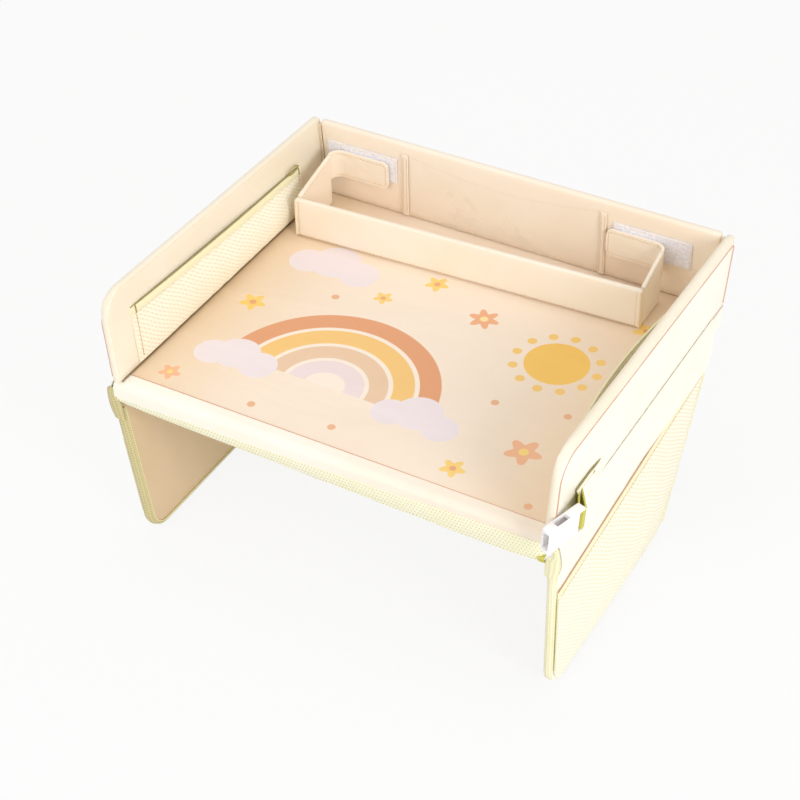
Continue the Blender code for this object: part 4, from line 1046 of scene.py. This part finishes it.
end_depth = wall_thickness + 0.0029
low_half = side_face_across(end_depth, sleeve_foot)
high_half = side_face_across(end_depth, wall_rear_height)
place = back_frame @ Matrix.Translation((0, -wall_thickness / 2, 0)) @ stand_across
back_cover = padded_panel("back_wall_sleeve",
                          [(-low_half, sleeve_foot), (low_half, sleeve_foot),
                           (high_half, wall_rear_height), (-high_half, wall_rear_height)],
                          radii=[0.0, 0.0, 0.004, 0.004], thickness=wall_thickness - sleeve_gap, edge=0.0030,
                          puff=0.0003, cell=0.006, seed=17.0, matrix=place, foot_edge=0.0006)
hand_over(back_cover, coated_cloth, "coated_cream_cloth", "back_wall", "back_wall_cover")
for face_name, depth in (("front", -wall_thickness + 0.0006), ("rear", -0.0006)):
    rim = [back_frame @ Vector((across * (high_half - 0.004) / 20, depth, wall_rear_height - 0.0028))
           for across in range(-20, 21)]
    stitch_row("back_wall_%s_stitches" % face_name, rim, *edge_stitch, cream_thread,
               "coated_cream_cloth", "back_wall")


# ---- Clear phone pocket ----
# Clear vinyl film, half a millimetre thick, sewn down at both sides and along the foot, with
# narrow double-stitched binding tapes at its sides and a sagging open top.
clear_vinyl, tree, shader = start_material("clear_vinyl_film", 0.08)
shader.inputs["Base Color"].default_value = (1.0, 1.0, 1.0, 1.0)
shader.inputs["IOR"].default_value = 1.3
shader.inputs["Transmission Weight"].default_value = 1.0
shader.inputs["Alpha"].default_value = 0.08
space = add_node(tree, "ShaderNodeTexCoord")
folds = add_node(tree, "ShaderNodeTexNoise",
                 inputs={"Vector": space.outputs["Object"], "Scale": 18.0, "Detail": 2.0, "Distortion": 1.2})
rise = add_node(tree, "ShaderNodeBump",
                inputs={"Strength": 0.12, "Distance": 0.002, "Height": folds.outputs[0]})
tree.links.new(rise.outputs[0], shader.inputs["Normal"])
rubbed = add_node(tree, "ShaderNodeTexNoise",
                  inputs={"Vector": space.outputs["Object"], "Scale": 120.0, "Detail": 4.0})
rough = add_node(tree, "ShaderNodeMapRange",
                 inputs={0: rubbed.outputs[0], 1: 0.3, 2: 0.8, 3: 0.05, 4: 0.2})
tree.links.new(rough.outputs[0], shader.inputs["Roughness"])

tan_thread = thread("tan_sewing_thread", "#E9CFAE", "#D2B38C")
off_centre, window_width, window_height = -0.008, 0.197, 0.066
film_foot, film_height, film_thickness = 0.002, 0.064, 0.0004
binding_half, binding_top = 0.003, 0.0664
face = -wall_thickness - 0.0003


def film_place(u, v):
    """The film from its left to its right edge, full in the middle and creased a little."""
    top = window_height - 0.005 * math.sin(math.pi * u)
    along = max(0.0, math.sin(math.pi * u)) ** 1.2
    up = max(0.0, math.sin(math.pi / 2 * v)) ** 0.8
    crease = 0.0007 * noise.noise(Vector((u * 14, v * 5, 41.0))) * along * up
    return back_frame @ Vector((off_centre + window_width * (0.5 - u),
                                face - 0.0008 - 0.0076 * along * up + crease,
                                film_foot + (top - film_foot) * v))


film = shaped_grid("clear_phone_pocket", 90, 36, window_width, film_height, film_place)
give_thickness(film, film_thickness)
hand_over(film, clear_vinyl, "clear_film", "back_wall", "phone_window_film")
for side_name, side in (("left", -1), ("right", 1)):
    edge = off_centre + side * window_width / 2
    tape = padded_panel(side_name + "_window_tape",
                        [(edge - binding_half, film_foot), (edge + binding_half, film_foot),
                         (edge + binding_half, binding_top), (edge - binding_half, binding_top)],
                        radii=[0.0] * 4, thickness=0.0010, edge=0.0005, puff=0.0, cell=0.003,
                        seed=51.0 + side,
                        matrix=back_frame @ Matrix.Translation((0, face - 0.0014, 0)) @ stand_across)
    hand_over(tape, coated_cloth, "coated_cream_cloth", "back_wall", side_name + "_window_binding")
    for way in (-1, 1):
        path = [back_frame @ Vector((edge + way * 0.0017, face - 0.0022, 0.004 + step * 0.0061))
                for step in range(11)]
        stitch_row("%s_window_stitches_%s" % (side_name, "outer" if way == side else "inner"), path,
                   *tape_stitch, tan_thread, "coated_cream_cloth", "back_wall")
hem_points = [film_place(step / 60, 1.0) for step in range(61)]
lip = sewn_line("film_rolled_lip", hem_points, 0.00055, clear_vinyl, "clear_film", "back_wall")


# ---- Loop patches on the back wall ----
# Patches of brushed white nylon loop tape on both sides of the clear pocket, cut straight
# and sewn down all round. The organiser's tabs stick to them.
patch_foot, patch_height, patch_inset = 0.032, 0.027, 0.0015
patch_top = patch_foot + patch_height
patch_start, patch_end = window_width / 2 + 0.009, 0.195 - 0.0135
for side_name, side in (("left", -1), ("right", 1)):
    ends = sorted((off_centre + side * patch_start, off_centre + side * patch_end))
    patch = padded_panel(side_name + "_loop_tape_patch",
                         [(ends[0], patch_foot), (ends[1], patch_foot),
                          (ends[1], patch_top), (ends[0], patch_top)],
                         radii=[0.0012] * 4, thickness=0.0009, edge=0.0004, puff=0.0, cell=0.004,
                         seed=61.0 + side,
                         matrix=back_frame @ Matrix.Translation((0, face - 0.0006, 0)) @ stand_across)
    hand_over(patch, white_loops, "white_loop_tape", "back_wall", side_name + "_loop_patch")
    start, end = ends[0] + patch_inset, ends[1] - patch_inset
    low, high = patch_foot + patch_inset, patch_top - patch_inset
    path = [back_frame @ Vector((across, face - 0.0012, up))
            for across, up in ((start, low), (end, low), (end, high), (start, high), (start, low))]
    stitch_row(side_name + "_patch_stitches", path, 0.00032, 0.0026, 0.0010, cream_thread,
               "white_loop_tape", "back_wall")


# ---- Leg flaps ----
# Flat padded flaps of the same cloth over a board, which hang beside the child's seat. A yellow
# mesh tape binds their edge, and their cloth runs up over the base's side to the wall's foot.
leg_length, leg_thickness = 0.140, 0.009
leg_leans = {"left": math.radians(8), "right": 0.0}
leg_frames = {}
# The binding's holes are 1.5 mm apart, drawn 2.6 mm apart so that they show in the render
binding_mesh = knit_mesh("knitted_mesh_binding", "#F0E9B4", "#D5CB8C", 0.0026, 0.0026, 0.0, 0.7)
# The left flap's binding and skirt edge take a darker copy of the tape: painted shade for the shadow that
# side lies in
shaded_binding = knit_mesh("knitted_mesh_binding_painted_shade", "#CDBF8A", "#AC9F66", 0.0026, 0.0026, 0.0, 0.7,
                           worn_to="#D9CE9E")
bound_half = {"left": 0.0049, "right": 0.0036}
pale_piping = thread("pale_yellow_piping", "#FBF6D2", "#EADF9A")
# The flaps' inner faces take a darker copy of the cloth: painted shade for the shadow under the base
shaded_leg_lining = woven_cloth("coated_polyester_oxford_lining_painted_shade", "#E3C9A6", "#D8B98F",
                              oxford_pitch, oxford_roughness, 0.1)
leg_foot = -leg_length + 0.0015
leg_rim = rounded([(0.0026, -0.004, 0), (0.0026, leg_foot, 0.0174), (0.2206, leg_foot, 0.0444),
                   (0.2972, -0.004, 0)], 14)
rim_length = sum((after - before).length for before, after in zip(leg_rim, leg_rim[1:]))
binding_width = 0.013
for side_name, side in (("left", -1), ("right", 1)):
    leg_frame = (Matrix.Translation(hinges[side_name + "_leg_fold"])
                 @ Matrix.Rotation(side * leg_leans[side_name], 4, "Y"))
    leg_frames[side_name] = leg_frame
    middle = side * leg_thickness / 2
    cover = padded_panel(side_name + "_leg_sleeve",
                         [(0.0035, leg_foot), (0.2200, leg_foot), (0.2975, -0.0015), (0.0035, -0.0015)],
                         radii=[0.018, 0.030, 0.0, 0.0], thickness=leg_thickness - 0.0012, edge=0.0026,
                         puff=0.0007, cell=0.006, seed=71.0 + side,
                         matrix=leg_frame @ Matrix.Translation((middle, 0, 0)) @ stand_along)
    hand_over(cover, lit_pale_cloth, "coated_cream_cloth", side_name + "_leg", side_name + "_leg_cover")
    cover.data.materials.append(shaded_leg_lining)
    # Faces turned inwards take the darker copy as painted shade; the rest take the paler cloth as painted
    # light
    for face in cover.data.polygons:
        face.material_index = int(face.normal.x * side < -0.3)
    half_bound = bound_half[side_name]

    def binding_place(u, v):
        point, way = along_line(leg_rim, u)
        outward = Vector((way.y, -way.x)) * -1
        turn = math.pi * (v - 0.5)
        reach = 0.0030 * math.cos(turn) - 0.0024
        ripple = 0.00012 * math.sin(u * rim_length * 2 * math.pi / 0.009) * math.cos(turn)
        place = point - outward * (reach + ripple)
        return leg_frame @ Vector((middle + half_bound * math.sin(turn), place.x, place.y))

    binding = shaped_grid(side_name + "_leg_bound_edge", 260, 14, rim_length, binding_width, binding_place)
    give_thickness(binding, 0.0007)
    # The left binding is the darker copy, painted shade
    hand_over(binding, binding_mesh if side > 0 else shaded_binding, "yellow_air_mesh", side_name + "_leg",
              side_name + "_leg_binding")
    for line_name, across in (("outer", middle + side * half_bound), ("inner", middle - side * half_bound)):
        rim_points = [along_line(leg_rim, step / 100) for step in range(101)]
        path = [leg_frame @ Vector((across, point.x - way.y * 0.0028, point.y + way.x * 0.0028))
                for point, way in rim_points]
        sewn_line("%s_leg_%s_piping" % (side_name, line_name), path, 0.0006, pale_piping, "yellow_air_mesh",
                  side_name + "_leg")


# ---- Mesh pockets on the leg flaps ----
# The same warp-knitted elastic mesh on each flap's outer face, sewn down at its ends and along
# the flap's rounded foot. Its hem, gathered by the same elastic, climbs from front to back.
front_radius, rear_radius, outer_belly = 0.018, 0.045, 0.0110
outer_front, outer_foot_end, outer_slope = 0.005, 0.218, 0.079 / 0.140
outer_rear_top = 0.297 - outer_slope * 0.014
arc_start = 0.221 - rear_radius * math.tan(math.atan2(0.140, 0.079) / 2)
for side_name, side in (("left", -1), ("right", 1)):
    leg_frame = leg_frames[side_name]

    def outer_flat(u, v):
        along = (outer_foot_end - outer_front) * u
        front_span = max(0.0, 1 - along / front_radius)
        rear_span = min(1.0, max(0.0, outer_front + along - arc_start) / rear_radius)
        raised = front_radius * (1 - math.sqrt(1 - front_span ** 2))
        raised += rear_radius * (1 - math.sqrt(1 - rear_span ** 2))
        low = Vector((outer_front + along, -0.137 + raised))
        high = Vector((outer_front + (outer_rear_top - outer_front) * u, -0.040 + 0.026 * u))
        return low.lerp(high, v)

    def outer_face(u, v, lift=0.0, extra=0.0):
        place = outer_flat(u, v)
        full = max(0.0, math.sin(math.pi * u)) ** 0.7 * max(0.0, math.sin(math.pi * min(1.0, v))) ** 0.8
        sag = 0.0012 * noise.noise(Vector((u * 22, v * 9, 83.0 + side))) * full * max(0.0, 1 - v)
        depth = leg_thickness + 0.0007 + outer_belly * full + gather(u, v) + extra + sag
        return leg_frame @ Vector((side * depth, place.x, place.y + lift))

    pocket = shaped_grid(side_name + "_outer_mesh", 180, 72, 0.25, 0.115, outer_face, outer_flat)
    give_thickness(pocket, mesh_thickness)
    hand_over(pocket, pocket_mesh, "yellow_air_mesh", side_name + "_leg", side_name + "_outer_pocket")
    hem = shaped_grid(side_name + "_outer_elastic", 180, 6, 0.29, 0.007,
                      lambda u, v: outer_face(u, 1.0, hem_start + hem_height * v, hem_bulge(v)))
    give_thickness(hem, elastic_thickness)
    hand_over(hem, pocket_elastic, "yellow_elastic", side_name + "_leg", side_name + "_outer_pocket_hem")
    hem_top = [outer_face(step / 90, 1.0, 0.0077, 0.0002) for step in range(91)]
    sewn_line(side_name + "_outer_hem_piping", hem_top, 0.0005, seam_thread, "yellow_elastic",
              side_name + "_leg")
    mesh_edge = [outer_face(step / 90, 1.0, 0.0005, 0.0011) for step in range(1, 90)]
    stitch_row(side_name + "_outer_hem_stitches", mesh_edge, 0.0003, 0.0026, 0.0010, tan_thread,
               "yellow_elastic", side_name + "_leg")
    for edge_name, share in (("front", 0.0), ("rear", 1.0)):
        path = [outer_face(share, step / 30, 0.0, 0.0006) for step in range(31)]
        sewn_line("%s_outer_%s_piping" % (side_name, edge_name), path, 0.0014 if share else 0.0008,
                  pocket_elastic, "yellow_elastic", side_name + "_leg")


# ---- Side skirts ----
# The leg flap's outer cloth is cut in one with a skirt that runs up over the base's side and is sewn in with
# the wall's foot.
skirt_front, skirt_rear, skirt_foot, skirt_top = 0.0035, 0.2915, -0.012, 0.0010
skirt_belly = 0.0042
for side_name, side in (("left", -1), ("right", 1)):
    leg_frame = leg_frames[side_name]
    top_across = side * (half_width - 0.0001)
    low_across = side * (leg_thickness + 0.0005)

    def skirt_place(u, v):
        along = skirt_front + (skirt_rear - skirt_front) * u
        low = leg_frame @ Vector((low_across, along, skirt_foot - 0.004 * u))
        high = tray + Vector((top_across, along + 0.020 * u, skirt_top))
        place = high.lerp(low, v)
        belly = math.sin(math.pi * v)
        slack = noise.noise(Vector((u * 16, v * 2, 91.0 + side))) * 0.0008 * belly
        return place + Vector((side * (skirt_belly * max(0.0, belly) ** 0.7 + slack), 0, 0))

    skirt = shaped_grid(side_name + "_side_skirt", 150, 24, 0.29, 0.042, skirt_place)
    give_thickness(skirt, 0.0010)
    skirt.data.materials.clear()
    skirt.data.materials.append(lit_pale_cloth)
    hinge = hinges[side_name + "_leg_fold"]
    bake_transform(skirt)

    flare = 0.0034 if side < 0 else 0.0004
    skirt_drop = tray.z + skirt_top - (leg_frame @ Vector((low_across, 0, skirt_foot))).z

    def strip_place(u, v):
        up = -0.0070 - 0.0330 * u
        leg_in = (leg_frame @ Vector((-side * 0.0006, 0, up - hinge.z + tray.z))).x - tray.x
        low_share = max(0.0, min(1.0, (-0.0160 - up) / 0.0065))
        inner = side * (half_width + 0.0003) * (1 - low_share) + leg_in * low_share
        share = max(0.0, min(1.0, (skirt_top - up) / skirt_drop))
        outer = skirt_place(0.0, share).x - tray.x + side * (0.0004 + flare * min(1.0, u / 0.1) * (1 - share))
        return tray + Vector((inner + (outer - inner) * v, 0.0016 - 0.0014 * math.sin(math.pi * v), up))

    edge = shaped_grid(side_name + "_skirt_binding", 40, 10, 0.038, 0.008, strip_place)
    give_thickness(edge, 0.0007)
    edge.data.materials.clear()
    # The left skirt edge is the darker copy, painted shade
    edge.data.materials.append(binding_mesh if side > 0 else shaded_binding)
    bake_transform(edge)


skirt_thread = thread("pale_sewing_thread", "#FFFDF0", "#FBF0DA")
for side_name, side in (("left", -1), ("right", 1)):
    path = [tray + Vector((side * (half_width + 0.0005), 0.004 + 0.0077 * step, 0.0012))
            for step in range(41)]
    sewn_line(side_name + "_skirt_top_seam", path, 0.0006, skirt_thread, "coated_cream_cloth", "tray")


# ---- Webbing ends ----
# Short folded ends of the olive webbing: one is sewn into the binding at the left flap's lower
# edge, one into the base's lower front corner beside the right flap.
left_frame = leg_frames["left"]


def tab_end_place(u, v):
    """The doubled end of webbing: down one face, round its fold and up the other."""
    turn = math.pi * (u - 0.5)
    return left_frame @ Vector((-leg_thickness / 2 + 0.0024 * math.sin(turn), 0.113 + 0.010 * v,
                                -leg_length + 0.0052 - 0.0048 * math.cos(turn)))


tab_end = shaped_grid("left_leg_webbing_tab", 14, 8, 0.014, 0.010, tab_end_place)
give_thickness(tab_end, webbing_end_thickness)
hand_over(tab_end, olive_web, "olive_webbing", "left_leg")


def corner_end_place(u, v):
    """A webbing end folded forward under the base's front corner."""
    turn = math.pi * (u - 0.5)
    return tray + Vector((0.1922 + 0.0050 * v, 0.0030 - 0.0038 * math.cos(turn),
                          -0.0230 + 0.0032 * math.sin(turn)))


corner_end = shaped_grid("right_corner_webbing_end", 14, 6, 0.012, 0.010, corner_end_place)
give_thickness(corner_end, webbing_end_thickness)
hand_over(corner_end, olive_web, "olive_webbing", "tray")


# ---- Fold-up organiser ----
# A low front panel, two end panels and two tabs, all of stitched cloth over thin foam. The
# tabs carry hook tape behind, which presses onto the loop patches.
# The front panel stands askew, its left end 17.5 mm further forward than its right end
end_step, front_span = 0.076 - 0.0585, 0.1535 + 0.1806
skew, front_length = math.atan2(end_step, front_span), math.hypot(end_step, front_span)
organiser_frame = Matrix.Translation(hinges["organiser_front_fold"]) @ Matrix.Rotation(skew, 4, "Z")
panel_foot, front_height, end_height = 0.0002, 0.0395, 0.0530
tab_height, tab_corner, tab_thickness = 0.027, 0.005, 0.0024
organiser_stitch = (0.00028, 0.0026, 0.0011)
organiser_cloth = woven_cloth("coated_polyester_oxford_organiser", "#FDF2E1", "#F9E4CA",
                              oxford_pitch, oxford_roughness, oxford_sheen)
panel = padded_panel("organiser_front_panel",
                     [(0, panel_foot), (front_length, panel_foot), (front_length, front_height),
                      (0, front_height)],
                     radii=[0.0, 0.0, 0.003, 0.003], thickness=0.0052, edge=0.0020, puff=0.0004, cell=0.005,
                     seed=101.0, matrix=organiser_frame @ Matrix.Translation((0, 0.003, 0)) @ stand_across)
hand_over(panel, organiser_cloth, "coated_cream_cloth", "organiser_front", "organiser_front_cover",
          "organiser_front_stiffener")
path = [organiser_frame @ Vector((0.004 + (front_length - 0.008) * step / 40, 0.0001, 0.0022))
        for step in range(41)]
stitch_row("organiser_foot_stitches", path, *organiser_stitch, tan_thread, "coated_cream_cloth",
           "organiser_front")
for corner_name, along in (("left", 0.0012), ("right", front_length - 0.0012)):
    corner = [organiser_frame @ Vector((along, 0.0005, 0.001 + 0.037 * step / 12)) for step in range(13)]
    sewn_line("organiser_%s_corner_piping" % corner_name, corner, 0.0008, cream_thread, "coated_cream_cloth",
              "organiser_front")
    row = [point + Vector((0.0035 if along < 0.1 else -0.0035, -0.0004, 0)) for point in corner]
    stitch_row("organiser_%s_corner_stitches" % corner_name, row, *organiser_stitch, tan_thread,
               "coated_cream_cloth", "organiser_front")
for side_name, side, window_gap in (("left", -1, 0.0164), ("right", 1, 0.0047)):
    end_hinge = hinges["organiser_%s_end_fold" % side_name]
    tab_hinge = hinges["organiser_%s_tab_fold" % side_name]
    end_frame = Matrix.Translation(end_hinge)
    reach = tab_hinge.y - end_hinge.y - 0.0003
    end_panel = padded_panel("organiser_%s_end_panel" % side_name,
                             [(0.0003, panel_foot), (reach, panel_foot), (reach, end_height),
                              (0.0003, front_height)],
                             radii=[0.0] * 4, thickness=0.0034, edge=0.0012, puff=0.0003, cell=0.004,
                             seed=103.0 + side,
                             matrix=end_frame @ Matrix.Translation((side * 0.002, 0, 0)) @ stand_along)
    hand_over(end_panel, organiser_cloth, "coated_cream_cloth", "organiser_%s_end" % side_name,
              "organiser_%s_end" % side_name)
    for face_name, across in (("inner", 0.0002), ("outer", 0.0038)):
        path = [end_frame @ Vector((side * across, 0.002 + (reach - 0.004) * step / 20,
                                    front_height + 0.0135 * step / 20 - 0.0028)) for step in range(21)]
        stitch_row("organiser_%s_end_%s_stitches" % (side_name, face_name), path, 0.0003, 0.0026, 0.0011,
                   tan_thread, "coated_cream_cloth", "organiser_%s_end" % side_name)
    window_edge = tray.x + off_centre + side * window_width / 2
    tab_length = abs(tab_hinge.x - window_edge) - window_gap
    bend = 0.012 - 0.0015
    run = rounded([(0.0015, 0.0, 0), (0.0015, bend, 0.0104), (tab_length, bend, 0)], 10)
    middle_up = end_height - tab_height / 2
    tab_frame = Matrix.Translation(tab_hinge)

    def tab_place(u, v):
        point = along_line(run, u)[0]
        corner_cut = 0.0
        to_end = (1 - u) * tab_length
        if to_end < tab_corner:
            corner_cut = tab_corner - math.sqrt(max(0.0, tab_corner ** 2 - (tab_corner - to_end) ** 2))
        height = (v - 0.5) * (tab_height - 2 * corner_cut)
        wave = 0.0004 * noise.noise(Vector((u * 7, v * 4, 111.0 + side)))
        return tab_frame @ Vector((-side * point.x, point.y + wave, middle_up + height))

    tab = shaped_grid("organiser_%s_tab_cloth" % side_name, 48, 22, tab_length, tab_height, tab_place)
    give_thickness(tab, tab_thickness)
    hand_over(tab, organiser_cloth, "coated_cream_cloth", "organiser_%s_tab" % side_name,
              "organiser_%s_tab" % side_name)
    ring = [(0.10, 0.1), (0.96, 0.1), (0.96, 0.9), (0.10, 0.9), (0.10, 0.1)]
    path = []
    for (u0, v0), (u1, v1) in zip(ring, ring[1:]):
        path += [tab_place(u0 + (u1 - u0) * step / 12, v0 + (v1 - v0) * step / 12) + Vector((0, -0.0013, 0))
                 for step in range(12)]
    stitch_row("organiser_%s_tab_stitches" % side_name, path, 0.0003, 0.0024, 0.0010, tan_thread,
               "coated_cream_cloth", "organiser_%s_tab" % side_name)
    hook = frame["nodes"]["organiser_%s_tab_hook" % side_name].data
    hook.materials.clear()
    hook.materials.append(white_loops)
